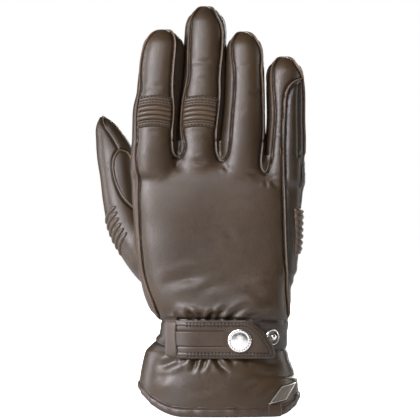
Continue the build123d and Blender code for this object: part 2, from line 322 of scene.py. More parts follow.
def finger_depth_y(name, z):
    """How far the curled finger's centre stands towards the palm at a height."""
    bend = unplaced(joints[f"{name}_bend"]["pos_m"])
    root = math.tan(math.radians(5))
    tip = math.tan(math.radians(13))
    z = np.asarray(z, float)
    soft = 8.0
    turn = np.clip((z - bend[2] + soft) / (2 * soft), 0, 1)
    extra = (tip - root) * soft * (turn**2)
    extra = extra + (tip - root) * np.maximum(z - bend[2] - soft, 0)
    fade = np.clip((z - 140) / 25, 0, 1)
    rise = -1.3 * np.clip((174 - z) / 18, 0, 1)
    return (z - bend[2]) * root + bend[1] + extra + rise + finger_rings[name]["forward"] * fade


tip_roundness = 1.85


def finger_line(name, top=None):
    """Centres, half-widths and half-depths of one finger, closed by a dome or cut at a height."""
    ring = finger_rings[name]
    heights = list(ring["heights"])
    xs = list(ring["centres"])
    widths = list(ring["widths"])
    depths = [ring["depth"] * w / widths[-2] for w in widths]
    depths = [0.5 * d + 0.5 * ring["depth"] for d in depths]
    if top is None:
        tip_x, tip_z = ring["tip"]
        start_z, start_x, width, depth = heights[-1], xs[-1], widths[-1], depths[-1]
        for part in (0.22, 0.42, 0.60, 0.74, 0.85, 0.93, 0.98, 0.999):
            size = (1 - part**tip_roundness) ** (1 / tip_roundness)
            heights.append(start_z + (tip_z - start_z) * part)
            xs.append(start_x + (tip_x - start_x) * part)
            widths.append(max(width * size, 0.05))
            depths.append(max(depth * size, 0.05))
    else:
        fine = np.arange(heights[0], top + 0.1, (top - heights[0]) / 12)
        xs = list(smooth_values(ring["heights"], xs, fine))
        widths = list(smooth_values(ring["heights"], widths, fine))
        depths = list(smooth_values(ring["heights"], depths, fine))
        heights = list(fine)
    ys = finger_depth_y(name, heights)
    return np.column_stack([xs, ys, heights]), widths, depths


def finger_tube(name, top=None):
    centres, widths, depths = finger_line(name, top)
    rings = 120 if top is None else 40
    return ring_tube(f"{name}_tube", centres, widths, depths, squareness=2.25, sides=64, rings=rings)


def hand_tube():
    heights = [r[0] for r in hand_rings]
    centres = [((r[1] + r[2]) / 2, 0, r[0]) for r in hand_rings]
    widths = [(r[2] - r[1]) / 2 for r in hand_rings]
    return ring_tube(
        "hand_tube", centres, widths, [r[3] for r in hand_rings], [r[4] for r in hand_rings], sides=120,
        rings=len(heights) * 8)


def thumb_tube():
    return ring_tube(
        "thumb_tube", [r[:3] for r in thumb_rings], [r[3] for r in thumb_rings],
        [r[4] for r in thumb_rings],
        squareness=2.1, sides=64, rings=120)


def web_filler(x, y, z, half_x, half_y, half_z):
    """A soft lump that lifts the web between two fingers."""
    deselect_all()
    bpy.ops.mesh.primitive_uv_sphere_add(segments=32, ring_count=16, radius=1)
    piece = bpy.context.object
    coords = vertex_array(piece) * np.array([half_x, half_y, half_z]) + np.array([x, y, z])
    set_vertices(piece, placed(coords))
    return piece


def build_forms():
    """The hand with finger stubs, and each finger on its own, so that neighbours never fuse."""
    stubs = [finger_tube(name, stub_top[name]) for name in finger_rings]
    fillers = [web_filler(*filler) for filler in web_fillers]
    forms = {"hand": voxel_form("hand_form", [hand_tube(), thumb_tube(), *stubs, *fillers])}
    smooth_between(forms["hand"], 132, 163.5, 8, 80)
    smooth_between(forms["hand"], 62, 118, 6, 12)
    for name in finger_rings:
        forms[name] = voxel_form(f"{name}_form", [finger_tube(name)])
    return forms


forms = build_forms()


# ---------------------------------------------------------------- reading the skins
def surface_tree(form):
    """A search tree over a skin, in this script's millimetres."""
    points = unplaced(vertex_array(form))
    faces = [tuple(face.vertices) for face in form.data.polygons]
    return BVHTree.FromPolygons([Vector(p) for p in points], faces)


def snapped(tree, points):
    """Nearest places on a skin, with their outward normals."""
    found = [tree.find_nearest(Vector(p)) for p in points]
    return np.array([f[0] for f in found]), np.array([f[1] for f in found])


def cast(tree, origin, direction):
    """The outermost place that a ray from inside a skin reaches."""
    start = Vector(origin)
    heading = Vector(direction).normalized()
    hit = tree.ray_cast(start, heading)
    if hit[0] is None:
        hit = tree.find_nearest(start + heading * 12)
    return hit[0], hit[1]


def finger_centre(name, z):
    ring = finger_rings[name]
    x = smooth_values(ring["heights"], ring["centres"], z)
    tip_x, tip_z = ring["tip"]
    start = ring["heights"][-1]
    above = np.clip((np.asarray(z, float) - start) / (tip_z - start), 0, 1)
    return x + (tip_x - ring["centres"][-1]) * above, finger_depth_y(name, z)


def finger_point(name, z, degrees_round):
    """A place on a finger: an angle of 0 faces straight out of the back of the hand."""
    x, y = finger_centre(name, z)
    turn = math.radians(degrees_round)
    hit, _ = cast(trees[name], (float(x), float(y), z), (math.sin(turn), -math.cos(turn), 0))
    return tuple(hit)


def thumb_centre(along):
    """The thumb's centre line and direction, with along counted by its rings' heights."""
    rings = np.array(thumb_rings)
    centre = smooth_values(rings[:, 2], rings[:, :3], np.atleast_1d(along))[0]
    ahead = smooth_values(rings[:, 2], rings[:, :3], np.atleast_1d(along + 1.0))[0]
    behind = smooth_values(rings[:, 2], rings[:, :3], np.atleast_1d(along - 1.0))[0]
    line = ahead - behind
    return centre, line / np.linalg.norm(line)


def thumb_point(along, degrees_round):
    """A place on the thumb: an angle of 0 faces the camera's side, and -90 faces away from the fingers."""
    centre, line = thumb_centre(along)
    across = np.array([1.0, 0, 0]) - line * line[0]
    across /= np.linalg.norm(across)
    depth = np.cross(line, across)
    turn = math.radians(degrees_round)
    hit, _ = cast(trees["hand"], centre, across * math.sin(turn) - depth * math.cos(turn))
    return tuple(hit)


# ---------------------------------------------------------------- seams
# The seams beside each finger's back panel: (height, x).
left_seams = {
    "index": [(144, -38.4), (157, -38.8), (173, -38.7), (183, -38.9), (191, -38.0), (197, -36.9),
              (201, -36.4),
              (210, -36.8), (217, -36.4), (223, -35.4), (227, -34.3), (230, -32.9)],
    "middle": [(164.6, -9.1), (168.6, -10.1), (173.4, -10.9), (177.4, -11.0), (185.4, -10.7),
               (191.7, -10.1),
               (197.3, -9.1), (201.3, -8.2), (205.3, -7.3), (209.3, -6.8), (218.9, -6.8), (225.2, -6.7),
               (233.2, -6.2), (239.6, -5.6), (244.4, -4.9), (247.2, -3.6)],
    "ring": [(159.1, 17.2), (165.4, 18.3), (173.4, 18.9), (181.4, 19.4), (189.4, 20.1), (197.3, 20.8),
             (205.3, 21.1),
             (213.3, 20.7), (221.3, 19.6), (225.2, 19.3), (229.2, 19.7), (231.6, 21.0)],
    "little": [(153.5, 43.4), (161.5, 44.1), (169.4, 44.9), (177.4, 45.6), (185.4, 46.0), (193.3, 45.6),
               (201.3, 44.8),
               (209.3, 44.7), (213.3, 45.1), (215.7, 46.0)],
}
right_seams = {
    "index": [(165.4, -17.6), (169.4, -17.8), (173.4, -17.7), (181.4, -17.0), (189.4, -16.8),
              (195.7, -17.4),
              (201.3, -17.6), (205.3, -17.5), (213.3, -17.0), (221.3, -16.3), (226.8, -15.9),
              (231.6, -16.3)],
    "middle": [(159.1, 10.0), (165.4, 9.3), (173.4, 9.3), (181.4, 10.1), (189.4, 11.0), (197.3, 11.6),
               (205.3, 11.5),
               (213.3, 12.0), (221.3, 12.9), (229.2, 13.5), (237.2, 13.3), (241.2, 12.4), (245.2, 10.4)],
    "ring": [(157.5, 37.0), (165.4, 37.9), (173.4, 38.6), (181.4, 38.7), (189.4, 38.6), (197.3, 38.4),
             (205.3, 38.2),
             (213.3, 37.6), (221.3, 38.0), (225.2, 37.2), (229.0, 35.6)],
    "little": [(159, 64.3), (170, 64.4), (186, 64.2), (199, 64.2), (207, 63.2), (214, 60.0)],
}
finger_tip_turn = 72
palm_seam_angle = 128
palm_seam_end = 0.62

# Seams of the hand: x, y and z, where y is a hint of the side. The web seams give only x and z.
radial_seam = [
    (-21.6, -8, 59.5), (-25.2, -9, 69), (-33.2, -10, 84), (-37.2, -11, 106), (-38.6, -11, 130),
    (-38.6, -10, 148), (-38.9, -8, 160)]
outer_seam = [
    (50.5, -8, 163), (50.6, -10, 147.6), (50.8, -12, 116.5), (52.2, -13, 85.4), (54.2, -12, 68),
    (54.8, -10, 60)]
outer_second_seam = [(60.6, -4, 160), (60.9, -6, 150), (60.2, -7, 141)]
web_seams = {
    ("index", "middle"): [(-17.4, 164.5), (-17.1, 161.5), (-16.0, 158.8), (-13.9, 157.4), (-11.4, 159.0),
                          (-9.8, 162.0), (-9.3, 164.6)],
    ("middle", "ring"): [(9.3, 165.0), (9.9, 160.0), (11.4, 156.9), (13.2, 155.8), (15.2, 157.0),
                         (16.9, 159.4),
                         (17.8, 163.1)],
    ("ring", "little"): [(37.5, 162.0), (36.9, 157.0), (36.9, 152.7), (37.9, 149.6), (39.8, 147.6),
                         (41.5, 148.8),
                         (42.7, 152.0), (43.4, 155.6)],
}
palm_radial_seam = [(-22.4, 4, 59.5), (-26.5, 8, 66), (-28, 19, 75), (-20, 22, 90), (-24, 19, 104),
                    (-37, 11, 118),
                    (-41.4, 6, 132), (-42.4, 4, 150), (-40.6, 5, 163)]
palm_outer_seam = [(53.0, 4, 59.5), (59.2, 6, 72), (60.4, 8, 90), (61.4, 8, 114), (62.6, 8, 132),
                   (63.4, 6, 150),
                   (64.4, 5, 158)]
web_palm_seams = [
    [(-17.5, 9, 166), (-15.6, 10, 158), (-14.5, 10, 155.5), (-13.2, 10, 158), (-11.0, 10, 166)],
    [(10.6, 10, 166), (12.0, 10, 157), (12.9, 10, 154), (14.0, 10, 157), (16.0, 10, 166)],
    [(38.6, 9, 156), (39.6, 10, 149), (40.4, 10, 146), (41.3, 10, 149), (42.6, 9, 156)],
]


def front_point(skin, x, z):
    """The place on the back of the hand at x and z."""
    depth_limit = 6.0 if skin == "hand" else float(finger_centre(skin, z)[1]) + 1.0
    hit = trees[skin].ray_cast(Vector((x, -80, z)), Vector((0, 1, 0)))
    if hit[0] is None or hit[0][1] > depth_limit:
        hit = trees[skin].find_nearest(Vector((x, depth_limit - 3.0, z)))
    return tuple(hit[0])


def seam_points(name, seam, low):
    """A front seam of a finger from the cut upwards."""
    line = np.array(seam)
    heights = [low] + [z for z in line[:, 0] if z > low + 1.5]
    return [front_point(name, float(np.interp(z, line[:, 0], line[:, 1])), z) for z in heights]


def finger_front_path(name):
    """Up the left seam, over the tip and down the right seam."""
    tip_x, tip_z = finger_rings[name]["tip"]
    tip_y = float(finger_depth_y(name, tip_z))
    low = finger_cut[name]
    points = seam_points(name, left_seams[name], low)
    points.append((tip_x, tip_y, tip_z))
    points += reversed(seam_points(name, right_seams[name], low))
    return smooth_path(points, 0.7)


def finger_palm_path(name, side):
    """A palm-side seam, from the cut up to where the side strip ends."""
    ring = finger_rings[name]
    low = finger_cut[name]
    high = ring["heights"][-1] + (ring["tip"][1] - ring["heights"][-1]) * palm_seam_end
    end_angle = finger_tip_turn
    steps = 9
    points = []
    for i in range(steps):
        part = i / (steps - 1)
        angle = palm_seam_angle + (end_angle - palm_seam_angle) * part**4
        points.append(finger_point(name, low + (high - low) * part, side * angle))
    return smooth_path(points, 0.7)


# Seams of the little finger's outer panel: (height, x).
little_outer_seam = [(159, 50.3), (173, 50.7), (181, 51.1), (189, 51.5), (197, 52.3), (202, 54.3),
                     (205.3, 57.5),
                     (206.9, 61.0), (207.6, 63.6)]
little_welt_seam = [(159, 52.7), (173, 53.0), (181, 53.4), (189, 53.8), (196, 54.8), (200, 56.6),
                    (202.6, 59.2),
                    (204.0, 62.0)]
little_second_seam = [(159, 60.6), (173, 60.7), (190, 60.7), (199, 60.9), (203, 61.2)]

thumb_cut = 103.0
thumb_front_seam = [(176, -8), (170, 0), (164, 6), (159, 12)]
thumb_panel_seam = [(150, 62), (157.5, 42), (159, 12), (153, -14), (146, -18), (138, -10), (128, 10),
                    (119, 40),
                    (113, 62)]
thumb_rear_seam = [(104, -150), (120, -150), (140, -152), (160, -158), (172, -170)]


def build_seam_lines():
    """Every seam as (skin, samples), snapped to its skin."""
    lines = {}
    for name in finger_rings:
        lines[f"{name}_front"] = (name, finger_front_path(name))
        lines[f"{name}_palm_left"] = (name, finger_palm_path(name, -1))
        lines[f"{name}_palm_right"] = (name, finger_palm_path(name, 1))
    for key, seam in (("outer", little_outer_seam), ("welt", little_welt_seam),
                      ("second", little_second_seam)):
        points = [front_point("little", x, z) for z, x in seam]
        lines[f"little_{key}"] = ("little", smooth_path(points, 0.7))
    first = lines["index_front"][1][0]
    lines["radial"] = ("hand", smooth_path([*radial_seam, tuple(first)], 0.7))
    lines["outer"] = ("hand", smooth_path([tuple(lines["little_outer"][1][0]), *outer_seam], 0.7))
    lines["outer_second"] = ("hand", smooth_path([tuple(lines["little_second"][1][0]), *outer_second_seam],
                                                 0.7))
    welt = [front_point("hand", x + 2.4, z) for x, _, z in outer_seam[1:]]
    lines["outer_welt"] = ("hand", smooth_path([tuple(lines["little_welt"][1][0]), *welt], 0.7))
    for (a, b), points in web_seams.items():
        start = tuple(lines[f"{a}_front"][1][-1])
        end = tuple(lines[f"{b}_front"][1][0])
        points = [front_point("hand", x, z) for x, z in points]
        lines[f"web_{a}_{b}"] = ("hand", smooth_path([start, *points, end], 0.5))
    for i, points in enumerate(web_palm_seams):
        lines[f"web_palm_{i}"] = ("hand", smooth_path(points, 0.7))
    lines["palm_radial"] = ("hand", smooth_path(palm_radial_seam, 0.7))
    lines["palm_outer"] = ("hand", smooth_path(palm_outer_seam, 0.7))
    for level, height in (("band_top", 58.9), ("band_bottom", 40.6)):
        turns = np.linspace(0, 2 * np.pi, 37)
        ring = [(15.4 + 36 * math.cos(t), 22 * math.sin(t), height) for t in turns]
        lines[level] = ("hand", smooth_path(ring, 0.7))
    lines["thumb_front"] = ("hand", smooth_path([(-62.0, 44.4,
                                                  184.0)] + [thumb_point(*p) for p in thumb_front_seam],
                                                  0.7))
    lines["thumb_panel"] = ("hand", smooth_path([thumb_point(*p) for p in thumb_panel_seam], 0.7))
    lines["thumb_rear"] = ("hand", smooth_path([thumb_point(*p) for p in thumb_rear_seam], 0.7))
    snapped_lines = {}
    for key, (skin, points) in lines.items():
        places, normals = snapped(trees[skin], points)
        snapped_lines[key] = (skin, places, normals)
    return snapped_lines


def finger_angle(name, centres):
    x, y = finger_centre(name, centres[:, 2])
    return np.degrees(np.arctan2(centres[:, 0] - x, -(centres[:, 1] - y)))


def between_seams(name, centres, angle):
    """Whether each place is on the finger's back panel."""
    low = np.array(left_seams[name])
    high = np.array(right_seams[name])
    left = np.interp(centres[:, 2], low[:, 0], low[:, 1])
    right = np.interp(centres[:, 2], high[:, 0], high[:, 1])
    return (centres[:, 0] > left) & (centres[:, 0] < right) & (np.abs(angle) < 88)


# Soft folds and puckers: points (x, z), half-width, depth, and the side: -1 is the back, +1 the palm.
folds = [
    ([(-24, 75), (-20, 80.5), (-12, 83.5), (4, 84), (12, 83)], 3.2, 1.5, -1),
    ([(-4, 75), (5, 78.5), (18, 79.5)], 2.6, 0.7, -1),
    ([(22, 77), (34, 75), (47, 70)], 3.0, 0.9, -1),
    ([(-8.5, 66), (-7, 63), (-5, 59.5)], 1.5, 1.5, -1),
    ([(-1.0, 64), (0.5, 59.5)], 1.3, 0.8, -1),
    ([(9.5, 65), (6.5, 59.5)], 1.6, 1.5, -1),
    ([(17, 66), (12.5, 62.5), (11, 59.5)], 1.6, 1.2, -1),
    ([(31, 67), (22, 63), (19, 59.5)], 1.8, 0.9, -1),
    ([(-15.5, 64), (-14, 59.5)], 1.4, 0.8, -1),
    ([(45, 66), (40, 62.5), (30, 60.5)], 1.8, 0.9, -1),
    ([(-2.2, 36.5), (-3.4, 31), (-5.5, 26)], 1.6, 1.7, -1),
    ([(3.4, 36), (1.8, 31), (-1.2, 26.5)], 1.4, 1.2, -1),
    ([(9.6, 36), (13, 31), (18.5, 27)], 1.7, 1.6, -1),
    ([(16.5, 35.5), (22, 32)], 1.6, 0.9, -1),
    ([(-9.5, 36), (-12, 31)], 1.5, 1.0, -1),
    ([(-15, 34), (-22, 31), (-29, 29)], 2.2, 1.3, -1),
    ([(-16, 29), (-24, 24), (-31, 21)], 2.8, 0.8, -1),
    ([(17, 14), (30, 18), (42, 24), (50, 28)], 3.6, 1.1, -1),
    ([(-10, 22), (4, 18), (18, 19)], 4.2, 0.8, -1),
    ([(34, 33), (44, 31.5), (52, 29)], 2.4, 1.0, -1),
    ([(27, 36), (31, 33)], 1.7, 0.8, -1),
    ([(11, 117), (18, 110), (25, 102)], 3.0, 0.45, -1),
    ([(-9, 156.3), (0, 155.0), (9, 156.6)], 1.5, 0.75, -1),
    ([(14.2, 154), (18.5, 148)], 1.3, 0.7, -1),
    ([(-14.5, 155.5), (-14.8, 150)], 1.1, 0.6, -1),
    ([(41, 146), (46, 141), (48.5, 139)], 1.4, 0.8, -1),
    ([(42, 147), (48, 145)], 1.1, 0.5, -1),
    ([(40, 145.5), (41.5, 138)], 1.2, 0.5, -1),
    ([(26, 149), (34, 147), (39, 146.5)], 1.8, 0.6, -1),
    ([(-36, 100), (-38, 92), (-33, 80)], 2.0, 0.7, -1),
    ([(-38, 132), (-10, 137), (22, 138), (58, 131)], 2.2, 1.0, 1),
    ([(50, 128), (20, 124), (-2, 112), (-10, 96)], 2.2, 1.0, 1),
    ([(-30, 118), (-14, 110), (-6, 96), (-4, 82)], 2.4, 1.3, 1),
    ([(10, 76), (26, 84), (44, 86)], 2.6, 0.8, 1),
]
palm_pucker_count = 15
rng = random.Random(11)
for i in range(palm_pucker_count):
    x = -17 + 66 * i / (palm_pucker_count - 1) + rng.uniform(-1.2, 1.2)
    lean = rng.uniform(-2, 2)
    folds.append(([(x + lean, 59 + rng.uniform(5, 9)), (x, 59.2)], 1.35, rng.uniform(0.8, 1.4), 1))
    folds.append(([(x, 40.4), (x + lean, 40 - rng.uniform(5, 10))], 1.45, rng.uniform(0.8, 1.4), 1))
    folds.append(([(x + 1.6, 57), (x + 1.6, 42.5)], 1.1, 0.7, 1))

# Creases on the fingers: skin, height, from and to angle, half-width, depth.
finger_creases = [
    ("middle", 216.5, -44, 22, 1.5, 0.3), ("middle", 205.5, -30, 35, 1.8, 0.22),
    ("ring", 197, 10, 60, 1.4, 0.4),
    ("ring", 186, -40, 5, 2.2, 0.2), ("little", 172, -40, -12, 1.3, 0.4),
    ("index", 201, -45, 10, 1.6, 0.22),
    ("ring", 214, -45, 20, 1.8, 0.2), ("middle", 174.5, -30, 20, 1.8, 0.2),
    ("index", 174.0, -20, 45, 1.8, 0.18),
    ("index", 188, 130, 230, 1.5, 1.0), ("middle", 188, 130, 230, 1.5, 1.0),
    ("ring", 185, 130, 230, 1.5, 1.0),
    ("little", 172, 130, 230, 1.5, 1.0), ("index", 212, 130, 230, 1.3, 0.7),
    ("middle", 215, 130, 230, 1.3, 0.7),
    ("ring", 209, 130, 230, 1.3, 0.7), ("little", 194, 130, 230, 1.3, 0.7),
]

seam_groove = 0.85
seam_groove_width = 0.95
panel_puff = 0.55
panel_puff_reach = 5.0


def distance_to_line(points, line):
    """Distance from flat points to a broken line, and how far along it they are, from 0 to 1."""
    best = np.full(len(points), 1e9)
    along = np.zeros(len(points))
    line = np.asarray(line, float)
    for i, (a, b) in enumerate(zip(line, line[1:])):
        step = b - a
        t = np.clip(((points - a) @ step) / (step @ step), 0, 1)
        distance = np.linalg.norm(points - (a + t[:, None] * step), axis=1)
        along = np.where(distance < best, (i + t) / (len(line) - 1), along)
        best = np.minimum(best, distance)
    return best, along


def at_band(point):
    """Whether a fold's end is pulled in by the wrist band, so that it stays deep there."""
    return 33.5 < point[1] < 61.0


def fold_profile(distance, width, depth):
    """A valley with a soft shoulder on each side."""
    valley = -depth * np.exp(-((distance / width) ** 2))
    shoulder = 0.38 * depth * np.exp(-(((distance - 2.1 * width) / width) ** 2))
    return valley + shoulder


def sculpt(skin):
    """Presses seams and folds into a skin and puffs its panels. Stores how near the seams are."""
    form = forms[skin]
    points = unplaced(vertex_array(form))
    normals = normal_array(form)
    samples = np.concatenate([places for owner, places, _ in seam_lines.values()])
    tree = kdtree.KDTree(len(samples))
    for i, sample in enumerate(samples):
        tree.insert(sample, i)
    tree.balance()
    distance = np.array([tree.find(p)[2] for p in points])
    seam = np.exp(-((distance / seam_groove_width) ** 2))
    push = -seam_groove * seam + panel_puff * (1 - np.exp(-((distance / panel_puff_reach)
                                                            ** 2))) - panel_puff * 0.5
    if skin == "hand":
        for line, width, depth, side in folds:
            near, along = distance_to_line(points[:, [0, 2]], smooth_path(line, 1.0))
            start = 1.0 if at_band(line[0]) else 0.0
            end = 1.0 if at_band(line[-1]) else 0.0
            strength = np.clip(start + along / 0.55, 0, 1) * np.clip(end + (1 - along) / 0.55, 0, 1)
            facing = np.clip(normals[:, 1] * side * 1.8 + 0.1, 0, 1)
            push += fold_profile(near, width, depth) * facing * strength**1.3
        slope = points[:, 0] * 0.11 + points[:, 2] * 0.07
        cross_slope = points[:, 2] * 0.16 - points[:, 0] * 0.05
        wide = np.sin(slope) * np.sin(cross_slope)
        push += 0.25 * wide * np.clip((150 - points[:, 2]) / 30, 0, 1)
    for owner, height, start, end, width, depth in finger_creases:
        if owner != skin:
            continue
        x, y = finger_centre(owner, points[:, 2])
        angle = np.degrees(np.arctan2(points[:, 0] - x, -(points[:, 1] - y)))
        angle = np.where(angle < start - 60, angle + 360, angle)
        inside = np.clip((angle - start) / 14, 0, 1) * np.clip((end - angle) / 14, 0, 1)
        push += fold_profile(np.abs(points[:, 2] - height), width, depth) * inside
    if skin in ("index", "middle"):
        under = np.clip((points[:, 2] - 176.0) / 1.5, 0, 1) * np.clip((195.6 - points[:, 2]) / 1.5, 0, 1)
        push -= 1.0 * under * between_seams(skin, points, finger_angle(skin, points))
    set_vertices(form, placed(points + normals * push[:, None]))
    # How near the seams each place is; the materials use it to paint shade into the seam grooves.
    attribute = form.data.attributes.new("seam", "FLOAT", "POINT")
    attribute.data.foreach_set("value", np.exp(-((distance / 1.7) ** 2)).astype(np.float32))


trees = {skin: surface_tree(form) for skin, form in forms.items()}
base_trees = trees
seam_lines = build_seam_lines()
for skin in forms:
    sculpt(skin)
trees = {skin: surface_tree(form) for skin, form in forms.items()}


# ---------------------------------------------------------------- cutting the skins into panels
def hem_height(x):
    """The hem line: flat at the middle, rising at both sides."""
    x = np.asarray(x, float)
    left = np.clip(-9 - x, 0, 31.5)
    right = np.clip(x - 45, 0, 17)
    rise_left = 33 - np.sqrt(33.0**2 - left**2)
    rise_right = 17.5 - np.sqrt(17.5**2 - right**2)
    return rise_left + rise_right


def face_centres(form):
    centres = np.empty(len(form.data.polygons) * 3)
    form.data.polygons.foreach_get("center", centres)
    return unplaced(centres.reshape(-1, 3))


def face_normals(form):
    normals = np.empty(len(form.data.polygons) * 3)
    form.data.polygons.foreach_get("normal", normals)
    return normals.reshape(-1, 3)


def seam_x(points, z):
    """Where a seam of the hand stands at a height."""
    line = np.asarray(sorted(points, key=lambda p: p[2]), float)
    return np.interp(z, line[:, 2], line[:, 0])


def near_thumb(centres):
    """Whether each place belongs to the thumb rather than to the hand."""
    rings = np.array(thumb_rings)
    fine = np.linspace(90, 185, 96)
    line = smooth_values(rings[:, 2], rings, fine)
    best = np.full(len(centres), 1e9)
    height = np.zeros(len(centres))
    for row, along in zip(line, fine):
        gap = np.linalg.norm(centres - row[:3], axis=1) - row[3]
        closer = gap < best
        best = np.where(closer, gap, best)
        height = np.where(closer, along, height)
    hand_x = (np.clip(centres[:, 0], -24, 45) - centres[:, 0]) / 17.5
    hand_y = centres[:, 1] / 17.0
    outside_hand = hand_x**2 + hand_y**2 > 1.0
    return (best < 3.5) & (height > thumb_cut) & (outside_hand | (centres[:, 0] < -43.5)), height


# Where the wrist band ends against the hand and against the cuff.
band_top_height = 58.9
band_bottom_height = 40.6
hem_trim = 3.2


def label_hand(form):
    """A panel's name for each face of the hand's skin."""
    centres = face_centres(form)
    normals = face_normals(form)
    x, y, z = centres.T
    labels = np.full(len(x), "palm_panel", dtype=object)
    back = (y < 0) & (z > band_bottom_height)
    radial_x = seam_x(radial_seam, z)
    outer_x = seam_x(outer_seam, z)
    labels[back] = "back_panel"
    side_left = (y < 7) & (x < radial_x) & (z > band_top_height)
    labels[side_left] = "thumb_side_gusset"
    labels[(y < 7) & (x > outer_x) & (z > band_top_height)] = "outer_side_panel"
    labels[(z <= band_top_height) & (z > band_bottom_height)] = "wrist_band"
    labels[(z <= band_bottom_height) & (y < 0)] = "cuff_back"
    labels[(z <= band_bottom_height) & (y >= 0)] = "cuff_palm"
    thenar = (np.linalg.norm((centres - np.array([-22, 12, 84])) / np.array([21, 14, 26]),
                             axis=1) < 1) & (y > 7)
    labels[thenar & (z > band_top_height)] = "thumb_root"
    names = list(finger_rings)
    middles = np.array([finger_rings[name]["centres"][2] for name in names])
    nearest = np.argmin(np.abs(x[:, None] - middles[None, :]), axis=1)
    web_height = np.select([x < 0, x < 27], [157.4, 155.8], 147.6)
    stub = z > web_height - 0.3
    for i, name in enumerate(names):
        mine = stub & (nearest == i)
        angle = finger_angle(name, centres)
        outside = (name == "index") & (x < middles[0]) | (name == "little") & (x > middles[3])
        front = mine & between_seams(name, centres, angle)
        side = mine & ~front & (np.abs(angle) < palm_seam_angle) & ~outside
        labels[front] = "back_panel"
        labels[side] = "web_strips"
        labels[mine & (np.abs(angle) >= palm_seam_angle)] = "palm_panel"
        if name == "index":
            labels[mine & outside & ~front & (np.abs(angle) < palm_seam_angle)] = "index_side_strip"
    labels[stub & (nearest == 3) & (x > outer_x) & (y < 5)] = "outer_side_panel"
    thumb, along = near_thumb(centres)
    thumb_angle = np.zeros(len(x))
    for j in np.flatnonzero(thumb):
        centre, line = thumb_centre(along[j])
        across = np.array([1.0, 0, 0]) - line * line[0]
        across /= np.linalg.norm(across)
        depth = np.cross(line, across)
        offset = centres[j] - centre
        thumb_angle[j] = math.degrees(math.atan2(offset @ across, -(offset @ depth)))
    panel = np.array(thumb_panel_seam[2:])
    panel_edge = np.interp(along, panel[::-1, 0], panel[::-1, 1])
    inner = (thumb_angle > panel_edge) | (thumb_angle < -152)
    above = along > 157
    front = np.array(thumb_front_seam)
    tip_edge = np.interp(along, front[::-1, 0], front[::-1, 1])
    inner = np.where(above, (thumb_angle > tip_edge) | (thumb_angle < -160), inner)
    labels[thumb] = "thumb_back"
    labels[thumb & inner] = "thumb_inner_panel"
    for i, name in enumerate(names):
        labels[(nearest == i) & (z > finger_cut[name]) & ~thumb] = "unused"
    hem = hem_height(x)
    labels[z < hem + hem_trim] = "unused"
    labels[(normals[:, 2] < -0.95) & (z < 0)] = "unused"
    return labels


# How far the strips between the fingers carry on below the cut, behind the web seams.
web_overlap = 12.0


def label_finger(name, form):
    centres = face_centres(form)
    angle = finger_angle(name, centres)
    z = centres[:, 2]
    ring = finger_rings[name]
    end = ring["heights"][-1] + (ring["tip"][1] - ring["heights"][-1]) * palm_seam_end
    front = between_seams(name, centres, angle)
    part = np.clip((z - finger_cut[name]) / (end - finger_cut[name]), 0, 1)
    edge = palm_seam_angle + (finger_tip_turn - palm_seam_angle) * part**4
    palm = np.abs(angle) > edge
    labels = np.full(len(z), f"{name}_fourchettes", dtype=object)
    labels[palm | (z > end)] = f"{name}_palm_side"
    labels[front] = f"{name}_back"
    if name == "little":
        outer = np.array(little_outer_seam)
        inner_x = np.interp(z, outer[:, 0], outer[:, 1])
        outside = (centres[:, 0] > inner_x) & (angle > -60) & (angle < palm_seam_angle) & (z < 206.9)
        labels[outside] = "little_outer_side"
    beside = {"index": angle > 0, "little": angle < 0}.get(name, np.full(len(z), True))
    web_side = beside & (labels == f"{name}_fourchettes") & (z > finger_cut[name] - web_overlap)
    labels[(z <= finger_cut[name]) & ~web_side] = "unused"
    return labels


def cut_into_panels(form, labels):
    """Separates a skin into one piece per label and drops the faces that aren't used."""
    names = sorted(set(labels))
    form.data.materials.clear()
    for name in names:
        form.data.materials.append(bpy.data.materials.new(f"label_{name}"))
    index = {name: i for i, name in enumerate(names)}
    form.data.polygons.foreach_set("material_index", np.array([index[label] for label in labels],
                                                              dtype=np.int32))
    form.data.update()
    make_active(form)
    bpy.ops.object.mode_set(mode="EDIT")
    bpy.ops.mesh.select_all(action="SELECT")
    bpy.ops.mesh.separate(type="MATERIAL")
    bpy.ops.object.mode_set(mode="OBJECT")
    pieces = {}
    for piece in list(bpy.context.selected_objects):
        name = piece.data.materials[0].name.removeprefix("label_")
        piece.data.materials.clear()
        if name == "unused":
            bpy.data.objects.remove(piece, do_unlink=True)
            continue
        piece.name = name
        piece.data.name = name
        pieces[name] = piece
    for material in list(bpy.data.materials):
        if material.name.startswith("label_"):
            bpy.data.materials.remove(material)
    return pieces


lining_sources = {skin: copy_of(form, f"lining_{skin}") for skin, form in forms.items()}
panels = cut_into_panels(forms["hand"], label_hand(forms["hand"]))
for name in finger_rings:
    panels.update(cut_into_panels(forms[name], label_finger(name, forms[name])))


def bend_blend(piece, line):
    """Bakes a piece's placement into its mesh; the joint line it is given is not used."""
    line = np.asarray(line, float) / np.linalg.norm(line)
    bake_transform(piece)


def blend_knuckles(piece):
    bend_blend(piece, (0, 0, 1))


def blend_finger(piece):
    bend_blend(piece, (0, math.tan(math.radians(9)), 1))


def blend_thumb(piece):
    bend_blend(piece, (-0.16, 0.30, 0.94))


knuckle_panels = ["back_panel", "palm_panel", "outer_side_panel", "thumb_side_gusset", "web_strips",
                  "index_side_strip"]
wrist_panels = ["wrist_band", "cuff_back", "cuff_palm", "thumb_root"]
thumb_panels = ["thumb_back", "thumb_inner_panel"]
finger_parts = {name: [part for part in panels if part.startswith(name) and part != "index_side_strip"]
                for name in finger_rings}


# ---------------------------------------------------------------- small pieces along a line
def line_frames(places, normals):
    """Travel directions and sideways directions along a line on a surface."""
    travel = np.gradient(places, axis=0)
    travel /= np.linalg.norm(travel, axis=1)[:, None] + 1e-9
    side = np.cross(normals, travel)
    side /= np.linalg.norm(side, axis=1)[:, None] + 1e-9
    return travel, side


